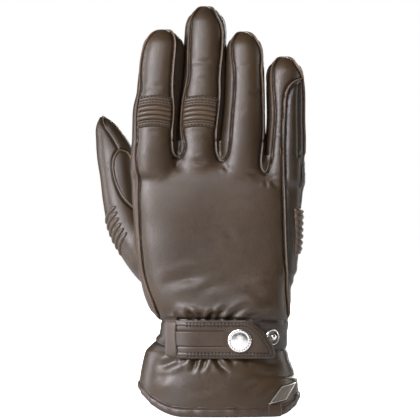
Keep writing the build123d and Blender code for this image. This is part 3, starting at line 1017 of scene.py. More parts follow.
def smoothed(values, passes=3):
    """A run of places or directions with its small jumps evened out."""
    values = np.array(values, float)
    for _ in range(passes):
        values[1:-1] = (values[:-2] + 2 * values[1:-1] + values[2:]) / 4
    return values


def sweep(name, places, normals, half_width, height, shift=0.0, lift=0.0, sides=8, closed=False):
    """A rounded bead along a line on a surface, tapering into it at both ends."""
    places = smoothed(places)
    normals = smoothed(normals)
    travel, side = line_frames(places, normals)
    knots = np.linspace(0, 1, len(places))
    data = np.column_stack([places, normals, side])

    def shape(u, v):
        at = np.column_stack([np.interp(v, knots, data[:, i]) for i in range(9)])
        turn = 2 * np.pi * u
        taper = np.clip(np.minimum(v, 1 - v) * len(places) / 3.0 + 0.15, 0, 1) if not closed else 1.0
        across = (np.cos(turn) * half_width * taper + shift)[:, None]
        out = (np.sin(turn) * height * taper + lift)[:, None]
        return placed(at[:, :3] + at[:, 6:9] * across + at[:, 3:6] * out)

    piece = grid_piece(name, sides, max(4, len(places)), shape, close_across=True)
    if not closed:
        fill_open_ends(piece)
    soften(piece, 60)
    return piece


def pick_places(places, normals, pitch):
    """Evenly spaced places along a line, with travel directions."""
    steps = np.linalg.norm(np.diff(places, axis=0), axis=1)
    knots = np.concatenate([[0], np.cumsum(steps)])
    count = max(2, int(round(knots[-1] / pitch)))
    at = (np.arange(count) + 0.5) * knots[-1] / count
    travel, side = line_frames(places, normals)
    columns = np.column_stack([places, normals, travel, side])
    return np.column_stack([np.interp(at, knots, columns[:, i]) for i in range(12)])


def stitch_model(length, half_width, height):
    """One stitch, modelled once at the origin: its length along y and its top towards z."""
    deselect_all()
    bpy.ops.mesh.primitive_uv_sphere_add(segments=8, ring_count=5, radius=1)
    model = bpy.context.object
    model.name = "stitch_model"
    coords = vertex_array(model)[:, [0, 2, 1]]
    coords[:, 1] = np.sign(coords[:, 1]) * np.abs(coords[:, 1]) ** 0.75
    set_vertices(model, coords * np.array([half_width, length / 2, height]) * mm)
    make_active(model)
    bpy.ops.object.mode_set(mode="EDIT")
    bpy.ops.mesh.select_all(action="SELECT")
    bpy.ops.mesh.normals_make_consistent(inside=False)
    bpy.ops.object.mode_set(mode="OBJECT")
    bpy.ops.object.shade_smooth()
    return model


def copy_along(model, rows, lift=0.0, slant=0.0):
    """Copies of a small model, one at each picked place, each with its own mesh."""
    coords = vertex_array(model)
    copies = []
    for row in rows:
        place, normal, travel, side = row[:3], row[3:6], row[6:9], row[9:12]
        normal = normal / np.linalg.norm(normal)
        travel = travel / np.linalg.norm(travel) + side * slant
        travel /= np.linalg.norm(travel)
        across = np.cross(travel, normal)
        copy = model.copy()
        copy.data = model.data.copy()
        bpy.context.scene.collection.objects.link(copy)
        turned = coords[:, :1] * across + coords[:, 1:2] * travel + coords[:, 2:3] * normal
        set_vertices(copy, turned + placed(place + normal * lift))
        copies.append(copy)
    return copies


# ---------------------------------------------------------------- seam lips
# Seam line: half-width, height, sideways shift of its raised leather edge.
lip_sizes = {"front": (0.48, 0.8, 0.85), "palm": (0.42, 0.5, 0.6), "other": (0.5, 0.8, 0.85)}
lips = {}


for key, (skin, _, _) in seam_lines.items():
    if key in ("band_top", "band_bottom", "little_second", "outer_second", "thumb_rear", "little_welt",
               "outer_welt"):
        continue
    at_front = key.endswith("_front") or key.startswith("web")
    kind = "palm" if "palm" in key else "front" if at_front else "other"
    half_width, height, shift = lip_sizes[kind]
    if key == "little_outer":
        shift = -shift
    if key in ("thumb_panel", "thumb_front"):
        shift = 0.75
    places, normals = smoothed(seam_lines[key][1], 3), smoothed(seam_lines[key][2], 12)
    lips[key] = sweep(f"lip_{key}", places, normals, half_width, height, shift=shift, lift=-0.2)

# ---------------------------------------------------------------- stretch panels over the knuckles
rib_grooves = [189.3, 186.3, 183.4, 180.6]
rib_rows = [194.5, 192.6, 190.9, 179.1, 177.4]
accordion_bottom = 176.2
accordion_top = 195.6
accordions = {}
accordion_stitches = {}


def accordion_profile(z):
    ribs = np.zeros_like(z)
    inside = (z > 180.0) & (z < 190.0)
    nearest = np.min(np.abs(z[:, None] - np.array(rib_grooves)[None, :]), axis=1)
    ribs = np.where(inside | (nearest < 1.5),
                    1.35 * np.sqrt(np.clip(1 - (1 - np.clip(nearest / 1.5, 0, 1)) ** 2, 0, 1)), 1.15)
    rows = np.min(np.abs(z[:, None] - np.array(rib_rows)[None, :]), axis=1)
    ribs = ribs - 0.45 * np.exp(-((rows / 0.45) ** 2))
    edge = np.clip(np.minimum(z - accordion_bottom, accordion_top - z) / 0.7, 0, 1)
    return ribs * np.sqrt(edge) - 0.5 * (1 - edge)


def accordion_bow(u):
    """The rows arch upwards at the middle of the finger."""
    return -1.5 * (2 * u - 1) ** 2 + 0.35


def build_accordion(name):
    low = np.array(left_seams[name])
    high = np.array(right_seams[name])

    def surface(u, z):
        left = np.interp(z, low[:, 0], low[:, 1]) + 0.5
        right = np.interp(z, high[:, 0], high[:, 1]) - 0.5
        across = left + (right - left) * u
        found = [base_trees[name].ray_cast(Vector((a, -80, h)), Vector((0, 1, 0))) for a,
                 h in zip(across, z)]
        return np.array([f[0] for f in found]), np.array([f[1] for f in found])

    def shape(u, v):
        z = accordion_bottom + (accordion_top - accordion_bottom) * v
        places, normals = surface(u, z + accordion_bow(u))
        fade = np.clip(np.minimum(u, 1 - u) / 0.05, 0, 1) ** 0.5
        return placed(places + normals * (accordion_profile(z) * fade - 0.45 * (1 - fade))[:, None])

    piece = grid_piece(f"{name}_stretch_panel", 44, 110, shape)
    rows = []
    for height in rib_rows:
        u = np.linspace(0.04, 0.96, 40)
        z = np.full_like(u, height)
        places, normals = surface(u, z + accordion_bow(u))
        rows.append((places + normals * 0.85, normals))
    apply_modifier(piece, "SOLIDIFY", thickness=0.9 * mm, offset=-1)
    soften(piece, 70)
    small = stitch_model(1.2, 0.38, 0.4)
    copies = []
    for places, normals in rows:
        copies += copy_along(small, pick_places(places, normals, 2.1))
    bpy.data.objects.remove(small, do_unlink=True)
    accordions[name] = piece
    accordion_stitches[name] = join_pieces(f"{name}_stretch_stitches", copies)


for name in ("index", "middle"):
    build_accordion(name)


# ---------------------------------------------------------------- thumb: inner panel and knuckle ribs
def thumb_row(points, spacing=0.7, shift=0.0):
    places, normals = snapped(trees["hand"], smooth_path([thumb_point(*p) for p in points], spacing))
    places, normals = smoothed(places), smoothed(normals)
    _, side = line_frames(places, normals)
    return places + side * shift, normals


thumb_stitch = stitch_model(1.2, 0.28, 0.3)
copies = []
for shift in (-1.4, -2.9):
    copies += copy_along(thumb_stitch, pick_places(*thumb_row(thumb_panel_seam[2:], shift=shift), 1.8))
bpy.data.objects.remove(thumb_stitch, do_unlink=True)
thumb_stitches = join_pieces("thumb_panel_stitches", copies)
thumb_ribs = []
for i in range(6):
    base = 106 + i * 3.3
    line = [(base - 2.4, -98), (base - 0.6, -72), (base + 1.2, -44), (base + 2.8, -16)]
    places, normals = thumb_row(line, 0.8)
    thumb_ribs.append(sweep(f"thumb_rib_{i}", places, normals, 1.45, 1.25, lift=-0.25, sides=12))
thumb_accordion = join_pieces("thumb_knuckle_ribs", thumb_ribs)

# ---------------------------------------------------------------- padded patch on the outer edge
patch_bottom = 98.0
patch_top = 126.5
patch_rib_pitch = 3.9


def patch_shape(u, v):
    z = patch_bottom + (patch_top - patch_bottom) * v
    y = -10.5 + 21 * u
    found = [cast(trees["hand"], (40, float(b), float(a)), (1, 0, 0)) for a, b in zip(z, y)]
    places = np.array([f[0] for f in found])
    normals = np.array([f[1] for f in found])
    edge = np.clip(np.minimum(np.minimum(u, 1 - u) * 21, np.minimum(v, 1 - v) * 28.5) / 1.6, 0, 1)
    rib = 0.5 + 0.5 * np.cos(2 * np.pi * (z - patch_bottom) / patch_rib_pitch)
    rise = (1.3 + 0.75 * np.sqrt(rib)) * np.sqrt(edge) - 0.5 * (1 - edge)
    return placed(places + normals * rise[:, None])


edge_patch = grid_piece("outer_edge_pad", 44, 120, patch_shape)
apply_modifier(edge_patch, "SOLIDIFY", thickness=1.0 * mm, offset=-1)
soften(edge_patch, 70)


# ---------------------------------------------------------------- wrist strap, its keeper and the snap
wrist_flat = (-1.25, 32.05)
wrist_corner = 21.0
wrist_half_depth = 23.0
strap_front = 5.7


def wrist_y(x, offset):
    """The front face of the wrist, grown outwards by an offset."""
    x = np.asarray(x, float)
    beyond = np.maximum(np.maximum(wrist_flat[0] - x, x - wrist_flat[1]), 0)
    radius = wrist_corner + offset
    return -(wrist_half_depth - wrist_corner) - np.sqrt(np.maximum(radius**2 - beyond**2, 0.5))


def wrist_normal(x, offset):
    x = np.asarray(x, float)
    beyond = np.where(x > wrist_flat[1], x - wrist_flat[1], np.where(x < wrist_flat[0], x - wrist_flat[0],
                                                                     0))
    across = np.clip(beyond / (wrist_corner + offset), -0.98, 0.98)
    return np.column_stack([across, -np.sqrt(1 - across**2), np.zeros_like(across)])


strap_left = -20.8
strap_bottom = 35.5
strap_corner = [(27.8, 58.6), (33.5, 56.2), (38.1, 52.2), (41.8, 47.6), (44.4, 43.2), (45.8, 39.2)]
strap_end = smooth_path([(23.0, 58.6), *strap_corner], 0.8)


def strap_top_edge(x):
    return np.interp(x, strap_end[:, 0], strap_end[:, 1])


strap_outline = np.vstack([[(-40, 58.6)], strap_end, [(46.0, 37.4), (45.3, 36.0), (44.0, 35.5)],
                           [(-40, 35.5)]])


def strap_surface(x, z, offset):
    """Places on the strap at x and z, this far in front of its front face."""
    shape = placed(np.column_stack([x, wrist_y(x, strap_front + offset), z]))
    return shape


def strap_shape(offset, rounding):
    def shape(u, v):
        x = strap_left + (45.9 - strap_left) * (1 - (1 - u) ** 1.25)
        low = strap_bottom + 2.2 * np.clip((x - 44.2) / 1.8, 0, 1) ** 2
        z = low + (strap_top_edge(x) - low) * v
        distance, _ = distance_to_line(np.column_stack([x, z]), strap_outline)
        front = -rounding * np.exp(-((distance / 0.55) ** 2))
        if offset == 0:
            for inset in (1.5, 3.4):
                front -= 0.1 * np.exp(-(((distance - inset) / 0.5) ** 2))
            front += 0.28 * np.exp(-(((distance - 2.45) / 0.5) ** 2))
            right_end = np.clip((20 - x) / 6, 0, 1)
            band = (z > 42.6) & (z < 52.2)
            step = np.minimum(np.abs(z - 42.6), np.abs(z - 52.2))
            front += np.where(band, 0.55, 0) * right_end * np.clip(step / 0.5, 0, 1)
            front -= 0.5 * right_end * np.exp(-((step / 0.4) ** 2))
            front += 0.18 * np.sin(x * 0.21 + 1) * np.sin(z * 0.13)
        return strap_surface(x, z, offset + front)
    return shape


strap = grid_piece("strap_outer_leather", 190, 64, strap_shape(0.0, 0.55))
apply_modifier(strap, "SOLIDIFY", thickness=1.25 * mm, offset=-1)
soften(strap, 60)
strap_back = grid_piece("strap_backing_leather", 120, 30, strap_shape(-1.3, 0.3))
apply_modifier(strap_back, "SOLIDIFY", thickness=1.0 * mm, offset=-1)
soften(strap_back, 60)


def strap_row(inset):
    """A row of places inside the strap's edge, all the way round its free end."""
    outline = smooth_path(strap_outline[1:-1], 0.5)
    outline = np.vstack([np.column_stack([np.arange(-9, 22.6, 0.5), np.full(64, 58.6)]), outline])
    bottom = np.column_stack([np.arange(43.5, -9, -0.5), np.full(105, 35.5)])
    outline = np.vstack([outline, bottom])
    travel = np.gradient(smoothed(outline, 4), axis=0)
    travel /= np.linalg.norm(travel, axis=1)[:, None]
    row = outline + np.column_stack([travel[:, 1], -travel[:, 0]]) * inset
    clear = distance_to_line(row, strap_outline)[0] > inset - 0.12
    row = smoothed(row[clear], 6)
    places = np.column_stack([row[:, 0], wrist_y(row[:, 0], strap_front), row[:, 1]])
    return places, wrist_normal(row[:, 0], strap_front)


strap_stitch = stitch_model(1.1, 0.4, 0.4)
copies = []
for inset in (1.5, 3.4):
    copies += copy_along(strap_stitch, pick_places(*strap_row(inset), 2.1), lift=0.25)
bpy.data.objects.remove(strap_stitch, do_unlink=True)
strap_stitches = join_pieces("strap_stitches", copies)


def anchor_shape(u, v):
    x = -21.7 + 1.6 * u
    z = 37.5 + 19.5 * v
    return placed(np.column_stack([x, wrist_y(x, 0.2 + 4.6 * u), z]))


strap_anchor = grid_piece("strap_sewn_end", 6, 20, anchor_shape)
apply_modifier(strap_anchor, "SOLIDIFY", thickness=1.4 * mm, offset=-1)
soften(strap_anchor, 60)

keeper_left = -21.0
keeper_right = -14.4


def keeper_shape(u, v):
    """A loop over the strap whose two ends turn in to the wrist."""
    around = np.clip(v, 0, 1)
    z = 33.9 + 26.4 * around
    lift = 6.9 * (1 - np.abs(2 * around - 1) ** 9)
    x = keeper_left + (keeper_right - keeper_left) * u + 0.35 * np.sin(around * 7.5) * u
    edge = np.exp(-((np.minimum(u, 1 - u) * 6.6 / 0.5) ** 2))
    return placed(np.column_stack([x, wrist_y(x, lift - 0.4 * edge + 0.25 * np.sin(around * 5)), z]))


keeper = grid_piece("strap_keeper_loop", 22, 90, keeper_shape)
apply_modifier(keeper, "SOLIDIFY", thickness=1.2 * mm, offset=-1)
soften(keeper, 60)


def turned_piece(name, profile, centre, normal, segments=48):
    """A round piece spun from a profile of (radius, height) about an axis through a centre."""
    profile = np.asarray(profile, float)
    knots = np.linspace(0, 1, len(profile))
    normal = np.asarray(normal, float) / np.linalg.norm(normal)
    up = np.array([0.0, 0.0, 1.0])
    across = np.cross(up, normal)
    across /= np.linalg.norm(across)
    up = np.cross(normal, across)

    def shape(u, v):
        radius = np.interp(v, knots, profile[:, 0])
        height = np.interp(v, knots, profile[:, 1])
        turn = 2 * np.pi * u
        out = across * (radius * np.cos(turn))[:, None] + up * (radius * np.sin(turn))[:, None]
        return placed(np.asarray(centre) + out + normal * height[:, None])

    piece = grid_piece(name, segments, len(profile) - 1, shape, close_across=True)
    fill_open_ends(piece)
    soften(piece, 40)
    return piece


snap_centre = np.array([24.1, -23.0, 46.4])
front_facing = np.array([0.0, -1.0, 0.0])
base_height = strap_front
cap = turned_piece("snap_cap_disc", [
    (7.1, base_height + 0.05), (7.25, base_height + 0.35), (7.2, base_height + 0.9),
    (6.9, base_height + 1.3),
    (6.4, base_height + 1.5), (5.7, base_height + 1.52), (5.35, base_height + 1.42),
    (4.9, base_height + 1.55),
    (3.4, base_height + 1.75), (1.8, base_height + 1.86), (0.4, base_height + 1.9),
    (0.02, base_height + 1.9)],
    snap_centre, front_facing, segments=64)
tick = stitch_model(1.0, 0.24, 0.22)
ticks = []
tick_count = 24
for i in range(tick_count):
    turn = 2 * math.pi * i / tick_count
    out = np.array([math.cos(turn), 0, math.sin(turn)])
    place = snap_centre + out * 6.05 + front_facing * (base_height + 1.5)
    side = np.cross(front_facing, out)
    ticks += copy_along(tick, [np.concatenate([place, front_facing, out, side])])
bpy.data.objects.remove(tick, do_unlink=True)
cap_ticks = join_pieces("snap_cap_ticks", ticks)

spare_x = 44.1
spare_normal = wrist_normal(np.array([spare_x]), 0)[0]
spare_centre = np.array([spare_x, float(wrist_y(spare_x, 0)), 48.2])
spare = turned_piece("spare_stud_ring", [
    (4.9, -0.2), (5.0, 0.4), (4.8, 0.85), (4.4, 1.05), (4.0, 0.95), (3.75, 0.6), (3.7, 0.1), (3.6, -0.1),
    (0.02, -0.15)],
    spare_centre, spare_normal, segments=40)
spare_dish = turned_piece("spare_stud_dish", [
    (3.65, -0.1), (3.6, 0.3), (3.2, 0.22), (2.6, 0.15), (2.0, 0.2), (1.2, 0.3), (0.02, 0.3)],
    spare_centre, spare_normal, segments=32)
spare_ball = turned_piece("spare_stud_ball", [
    (1.5, 0.25), (1.45, 0.9), (1.6, 1.4), (1.75, 1.8), (1.6, 2.2), (1.2, 2.45), (0.6, 2.58), (0.02, 2.6)],
    spare_centre, spare_normal, segments=32)


# ---------------------------------------------------------------- hem, its tab and the badge
def cuff_outline(t, z, offset):
    """The cuff's outline, going round from the thumb side past the back of the hand."""
    rings = np.array(hand_rings)
    left = smooth_values(rings[:, 0], rings[:, 1], z)
    right = smooth_values(rings[:, 0], rings[:, 2], z)
    depth = smooth_values(rings[:, 0], rings[:, 3], z)
    power = 2 / 2.3
    c = -np.cos(t)
    s = -np.sin(t)
    x = (left + right) / 2 + np.sign(c) * np.abs(c) ** power * ((right - left) / 2 + offset)
    y = np.sign(s) * np.abs(s) ** power * (depth + offset)
    return x, y


# Across the hem band: how far out, and how far above the hem line.
hem_profile = np.array([
    (-2.1, 6.2), (-2.3, 3.0), (-2.0, 0.9), (-1.3, 0.1), (-0.3, 0.0), (0.7, 0.5), (1.15, 1.6), (1.2, 3.0),
    (1.0, 4.2), (0.55, 4.9), (-0.05, 5.05), (0.15, 5.4), (0.5, 5.8), (0.35, 6.4), (-0.5, 6.7), (-1.4, 6.5)])


def hem_shape(u, v):
    t = 2 * np.pi * u
    knots = np.linspace(0, 1, len(hem_profile))
    values = smooth_values(knots, hem_profile, v)
    x0, _ = cuff_outline(t, np.full_like(t, 8.0), 0.0)
    hem = hem_height(x0)
    wave = 0.16 * np.sin(t * 23) + 0.12 * np.sin(t * 41 + 1)
    z = hem + values[:, 1]
    x, y = cuff_outline(t, z, values[:, 0] + wave * (values[:, 0] > 0.3))
    return placed(np.column_stack([x, y, z]))


hem = grid_piece("cuff_hem_roll", 360, 40, hem_shape, close_across=True)
soften(hem, 60)


def tab_shape(u, v):
    t_values = np.linspace(0.5 * math.pi, math.pi, 400)
    xs, _ = cuff_outline(t_values, np.full(400, 3.0), 1.2)
    x_target = 41.4 + 8.2 * u
    t = np.interp(x_target, xs, t_values)
    profile = np.array([(-1.2, 0.9), (-0.2, -0.65), (1.0, -0.2), (1.75, 1.0), (1.9, 3.0), (1.7, 5.0),
                        (1.2, 6.3),
                        (0.9, 7.4)])
    values = smooth_values(np.linspace(0, 1, len(profile)), profile, v)
    edge = 0.3 * np.exp(-((np.minimum(u, 1 - u) * 8.2 / 0.45) ** 2))
    z = hem_height(x_target) + values[:, 1]
    x, y = cuff_outline(t, np.maximum(z, 0), values[:, 0] - edge)
    return placed(np.column_stack([x, y, np.maximum(z, 0.02)]))


tab = grid_piece("hem_tab_fold", 24, 36, tab_shape)
apply_modifier(tab, "SOLIDIFY", thickness=0.9 * mm, offset=-1)
soften(tab, 60)

badge_corners = np.array([(41.6, 7.6), (49.9, 18.3), (59.0, 20.4), (52.8, 10.3)])
badge_centre = badge_corners.mean(axis=0)


def badge_point(a, b, grow=1.0):
    low = badge_corners[0] + (badge_corners[1] - badge_corners[0]) * b[:, None]
    high = badge_corners[3] + (badge_corners[2] - badge_corners[3]) * b[:, None]
    flat = low + (high - low) * a[:, None]
    return badge_centre + (flat - badge_centre) * grow


def cuff_front_y(x, offset):
    """The front face of the cuff near the badge, grown outwards by an offset."""
    part = np.clip(np.abs(x - 11.7) / (48.9 + offset), 0, 0.995)
    return -(30.4 + offset) * (1 - part**2.3) ** (1 / 2.3)


def badge_shape(u, v):
    flat = badge_point(u, v)
    rim = np.minimum(np.minimum(u, 1 - u) * 9, np.minimum(v, 1 - v) * 12)
    weave = 0.3 * (np.sin(u * 19) * np.sin(v * 31) > 0.1)
    rise = np.where(rim < 0.85, 1.75, 1.1 + weave)
    rise = np.where(rim < 0.15, 1.2, rise)
    return placed(np.column_stack([flat[:, 0], cuff_front_y(flat[:, 0], rise), flat[:, 1]]))


def badge_field_shape(u, v):
    """The darker hatched middle of the badge, inside its bright rim."""
    flat = badge_point(u, v, 0.78)
    hatch = 0.22 * (np.sin(u * 26 + v * 8) > 0)
    return placed(np.column_stack([flat[:, 0], cuff_front_y(flat[:, 0], 1.5 + hatch), flat[:, 1]]))


badge = grid_piece("cuff_badge_plate", 36, 44, badge_shape)
badge_field = grid_piece("cuff_badge_field", 40, 30, badge_field_shape)
apply_modifier(badge_field, "SOLIDIFY", thickness=0.6 * mm, offset=-1)
soften(badge_field, 30)
apply_modifier(badge, "SOLIDIFY", thickness=1.0 * mm, offset=-1)
soften(badge, 30)


# ---------------------------------------------------------------- lining and wrist elastic
def lining_piece(source, keep, name):
    """Part of a skin moved inwards, kept where a test on its faces holds."""
    labels = np.where(keep(face_centres(source)), name, "unused").astype(object)
    part = cut_into_panels(copy_of(source, "spare"), labels)[name]
    apply_modifier(part, "DECIMATE", ratio=0.3)
    set_vertices(part, vertex_array(part) - normal_array(part) * 2.6 * mm)
    apply_modifier(part, "SMOOTH", factor=0.5, iterations=1)
    apply_modifier(part, "SOLIDIFY", thickness=0.9 * mm, offset=-1)
    soften(part, 60)
    return part


def hand_lining_faces(centres):
    thumb, _ = near_thumb(centres)
    wrist_corner = (centres[:, 0] < -15) & (centres[:, 2] > 54) & (centres[:, 2] < 70)
    return ~thumb & ~wrist_corner & (centres[:, 2] > hem_height(centres[:, 0]) + 2.5) & below_cuts(centres)


def below_cuts(centres):
    middles = np.array([finger_rings[name]["centres"][2] for name in finger_rings])
    nearest = np.argmin(np.abs(centres[:, :1] - middles[None, :]), axis=1)
    cuts = np.array([finger_cut[name] for name in finger_rings])[nearest]
    thumb_side = (centres[:, 0] < -43.5) & (centres[:, 1] > 14)
    return (centres[:, 2] < cuts) | thumb_side


linings = {"hand": lining_piece(lining_sources["hand"], hand_lining_faces, "lining_hand_knit")}
linings["thumb"] = lining_piece(lining_sources["hand"], lambda c: near_thumb(c)[0], "lining_thumb_knit")
for name in finger_rings:
    linings[name] = lining_piece(lining_sources[name], lambda c: c[:, 2] > finger_cut[name],
                                 f"lining_{name}_knit")
for source in lining_sources.values():
    bpy.data.objects.remove(source, do_unlink=True)


def elastic_shape(u, v):
    t = math.pi * (1.04 + 0.92 * u)
    z = 44.5 + 11 * v
    rings = np.array(hand_rings)
    depth = 21.2 + 0.25 * np.sin(v * 6 * 2 * np.pi)
    c = -np.cos(t)
    s = -np.sin(t)
    power = 2 / 3.0
    x = 15.4 + np.sign(c) * np.abs(c) ** power * 35.9
    y = np.sign(s) * np.abs(s) ** power * depth
    return placed(np.column_stack([x, y, z]))


elastic = grid_piece("wrist_elastic_tape", 120, 48, elastic_shape)
apply_modifier(elastic, "SOLIDIFY", thickness=0.35 * mm, offset=0)
soften(elastic, 60)

# ---------------------------------------------------------------- wall thickness of the leather
for panel in panels.values():
    apply_modifier(panel, "SOLIDIFY", thickness=skin_wall * mm, offset=-1)
    soften(panel)


# ---------------------------------------------------------------- shader groups
def new_group(name, inputs, outputs):
    """A shader group with named sockets, and its two end nodes."""
    group = bpy.data.node_groups.new(name, "ShaderNodeTree")
    for socket_name, value in inputs:
        socket = group.interface.new_socket(name=socket_name, in_out="INPUT", socket_type="NodeSocketFloat")
        socket.default_value = value
    for socket_name, kind in outputs:
        group.interface.new_socket(name=socket_name, in_out="OUTPUT", socket_type=kind)
    return group, group.nodes.new("NodeGroupInput"), group.nodes.new("NodeGroupOutput")


def math_node(nodes, links, operation, a, b):
    node = nodes.new("ShaderNodeMath")
    node.operation = operation
    for socket, value in zip(node.inputs, (a, b)):
        if isinstance(value, (int, float)):
            socket.default_value = value
        else:
            links.new(value, socket)
    return node.outputs[0]


def noise_node(nodes, links, coords, scale, detail=4.0, roughness=0.55, distortion=0.0):
    node = nodes.new("ShaderNodeTexNoise")
    links.new(coords, node.inputs["Vector"])
    if isinstance(scale, (int, float)):
        node.inputs["Scale"].default_value = scale
    else:
        links.new(scale, node.inputs["Scale"])
    node.inputs["Detail"].default_value = detail
    node.inputs["Roughness"].default_value = roughness
    node.inputs["Distortion"].default_value = distortion
    return node.outputs["Fac"]


def build_grain_group():
    """Nappa leather: a fine pebbled grain, faint stretch creases and slow changes of tone."""
    group, ends_in, ends_out = new_group(
        "leather grain", [("Grain Scale", 1700.0), ("Grain Depth", 0.5), ("Crease Depth", 0.4)],
        [("Tone", "NodeSocketFloat"), ("Grain", "NodeSocketFloat"), ("Normal", "NodeSocketVector")])
    nodes, links = group.nodes, group.links
    coords = nodes.new("ShaderNodeTexCoord").outputs["Object"]
    tone = noise_node(nodes, links, coords, 26.0, detail=6.0, roughness=0.6)
    pebble = nodes.new("ShaderNodeTexVoronoi")
    pebble.feature = "SMOOTH_F1"
    links.new(coords, pebble.inputs["Vector"])
    links.new(ends_in.outputs["Grain Scale"], pebble.inputs["Scale"])
    fine = noise_node(nodes, links, coords, 3200.0, detail=2.0)
    crease = noise_node(nodes, links, coords, 260.0, detail=5.0, roughness=0.6, distortion=1.2)
    grain = math_node(nodes, links, "MULTIPLY", pebble.outputs["Distance"], ends_in.outputs["Grain Depth"])
    grain_fine = math_node(nodes, links, "MULTIPLY", fine, 0.25)
    grain_sum = math_node(nodes, links, "ADD", grain, grain_fine)
    crease_part = math_node(nodes, links, "MULTIPLY", crease, ends_in.outputs["Crease Depth"])
    height = math_node(nodes, links, "ADD", grain_sum, crease_part)
    bump = nodes.new("ShaderNodeBump")
    bump.inputs["Strength"].default_value = 0.35
    bump.inputs["Distance"].default_value = 0.00035
    links.new(height, bump.inputs["Height"])
    links.new(tone, ends_out.inputs["Tone"])
    links.new(crease, ends_out.inputs["Grain"])
    links.new(bump.outputs["Normal"], ends_out.inputs["Normal"])
    return group


def build_seam_shade_group():
    """Painted shade in the seam grooves: how deep in a seam a place is, broken up a little so that the
    shade isn't even.
    """
    group, ends_in, ends_out = new_group("seam shade", [("Spread", 1.0)], [("Mask", "NodeSocketFloat")])
    nodes, links = group.nodes, group.links
    attribute = nodes.new("ShaderNodeAttribute")
    attribute.attribute_name = "seam"
    coords = nodes.new("ShaderNodeTexCoord").outputs["Object"]
    uneven = noise_node(nodes, links, coords, 180.0, detail=3.0)
    scaled = math_node(nodes, links, "MULTIPLY", attribute.outputs["Fac"], ends_in.outputs["Spread"])
    broken = math_node(nodes, links, "MULTIPLY", scaled, math_node(nodes, links, "ADD", uneven, 0.5))
    clamp = nodes.new("ShaderNodeClamp")
    links.new(broken, clamp.inputs["Value"])
    links.new(clamp.outputs["Result"], ends_out.inputs["Mask"])
    return group


def build_fibre_group():
    """A knitted or woven cloth's loops, along x and z."""
    group, ends_in, ends_out = new_group(
        "cloth loops", [("Loop Scale", 900.0), ("Loop Depth", 1.0)],
        [("Tone", "NodeSocketFloat"), ("Normal", "NodeSocketVector")])
    nodes, links = group.nodes, group.links
    coords = nodes.new("ShaderNodeTexCoord").outputs["Object"]
    split = nodes.new("ShaderNodeSeparateXYZ")
    links.new(coords, split.inputs[0])
    waves = []
    for axis in ("X", "Z"):
        along = math_node(nodes, links, "MULTIPLY", split.outputs[axis], ends_in.outputs["Loop Scale"])
        waves.append(math_node(nodes, links, "SINE", math_node(nodes, links, "MULTIPLY", along, 6.283),
                               0.0))
    loops = math_node(nodes, links, "MULTIPLY", waves[0], waves[1])
    fluff = noise_node(nodes, links, coords, 1500.0, detail=3.0)
    both = math_node(nodes, links, "ADD", loops, fluff)
    height = math_node(nodes, links, "MULTIPLY", both, ends_in.outputs["Loop Depth"])
    bump = nodes.new("ShaderNodeBump")
    bump.inputs["Strength"].default_value = 0.5
    bump.inputs["Distance"].default_value = 0.0003
    links.new(height, bump.inputs["Height"])
    tone = noise_node(nodes, links, coords, 60.0, detail=4.0)
    links.new(tone, ends_out.inputs["Tone"])
    links.new(bump.outputs["Normal"], ends_out.inputs["Normal"])
    return group


grain_group = build_grain_group()
seam_shade_group = build_seam_shade_group()
fibre_group = build_fibre_group()


def start_material(name):
    material = bpy.data.materials.new(name)
    material.use_nodes = True
    nodes = material.node_tree.nodes
    return material, nodes, material.node_tree.links, nodes["Principled BSDF"]


def use_group(nodes, group, **values):
    node = nodes.new("ShaderNodeGroup")
    node.node_tree = group
    for key, value in values.items():
        node.inputs[key.replace("_", " ")].default_value = value
    return node


def mix_colours(nodes, links, factor, a, b):
    node = nodes.new("ShaderNodeMix")
    node.data_type = "RGBA"
    links.new(factor, node.inputs["Factor"])
    for socket, value in ((node.inputs["A"], a), (node.inputs["B"], b)):
        if isinstance(value, tuple):
            socket.default_value = (*value, 1)
        else:
            links.new(value, socket)
    return node.outputs["Result"]


def map_range(nodes, links, value, low, high):
    node = nodes.new("ShaderNodeMapRange")
    links.new(value, node.inputs["Value"])
    node.inputs["From Min"].default_value = 0.3
    node.inputs["From Max"].default_value = 0.7
    node.inputs["To Min"].default_value = low
    node.inputs["To Max"].default_value = high
    return node.outputs["Result"]


# The groove colour is painted shade: the seam mask darkens the leather towards it in the seam grooves.
def leather_material(name, dark, light, groove_shade_colour=(0.009, 0.005, 0.002), rough=(0.36, 0.5), grain=0.5,
                     crease=0.4,
                     seam=0.9, grain_scale=1700.0, specular=0.5, sheen=0.0):
    material, nodes, links, shader = start_material(name)
    leather = use_group(nodes, grain_group, Grain_Scale=grain_scale, Grain_Depth=grain, Crease_Depth=crease)
    tone = map_range(nodes, links, leather.outputs["Tone"], 0.0, 1.0)
    colour = mix_colours(nodes, links, tone, dark, light)
    # Near the seams the colour is mixed towards the dark groove colour: painted shade in the seam grooves.
    if seam:
        shade = use_group(nodes, seam_shade_group, Spread=seam)
        colour = mix_colours(nodes, links, shade.outputs["Mask"], colour, groove_shade_colour)
    links.new(colour, shader.inputs["Base Color"])
    links.new(map_range(nodes, links, leather.outputs["Grain"], *rough), shader.inputs["Roughness"])
    links.new(leather.outputs["Normal"], shader.inputs["Normal"])
    shader.inputs["Specular IOR Level"].default_value = specular
    shader.inputs["Sheen Weight"].default_value = sheen
    return material


def thread_material(name, colour):
    material, nodes, links, shader = start_material(name)
    coords = nodes.new("ShaderNodeTexCoord").outputs["Object"]
    twist = noise_node(nodes, links, coords, 2600.0, detail=2.0)
    links.new(mix_colours(nodes, links, twist, tuple(c * 0.6 for c in colour), colour),
              shader.inputs["Base Color"])
    shader.inputs["Roughness"].default_value = 0.55
    bump = nodes.new("ShaderNodeBump")
    bump.inputs["Strength"].default_value = 0.3
    bump.inputs["Distance"].default_value = 0.0001
    links.new(twist, bump.inputs["Height"])
    links.new(bump.outputs["Normal"], shader.inputs["Normal"])
    return material


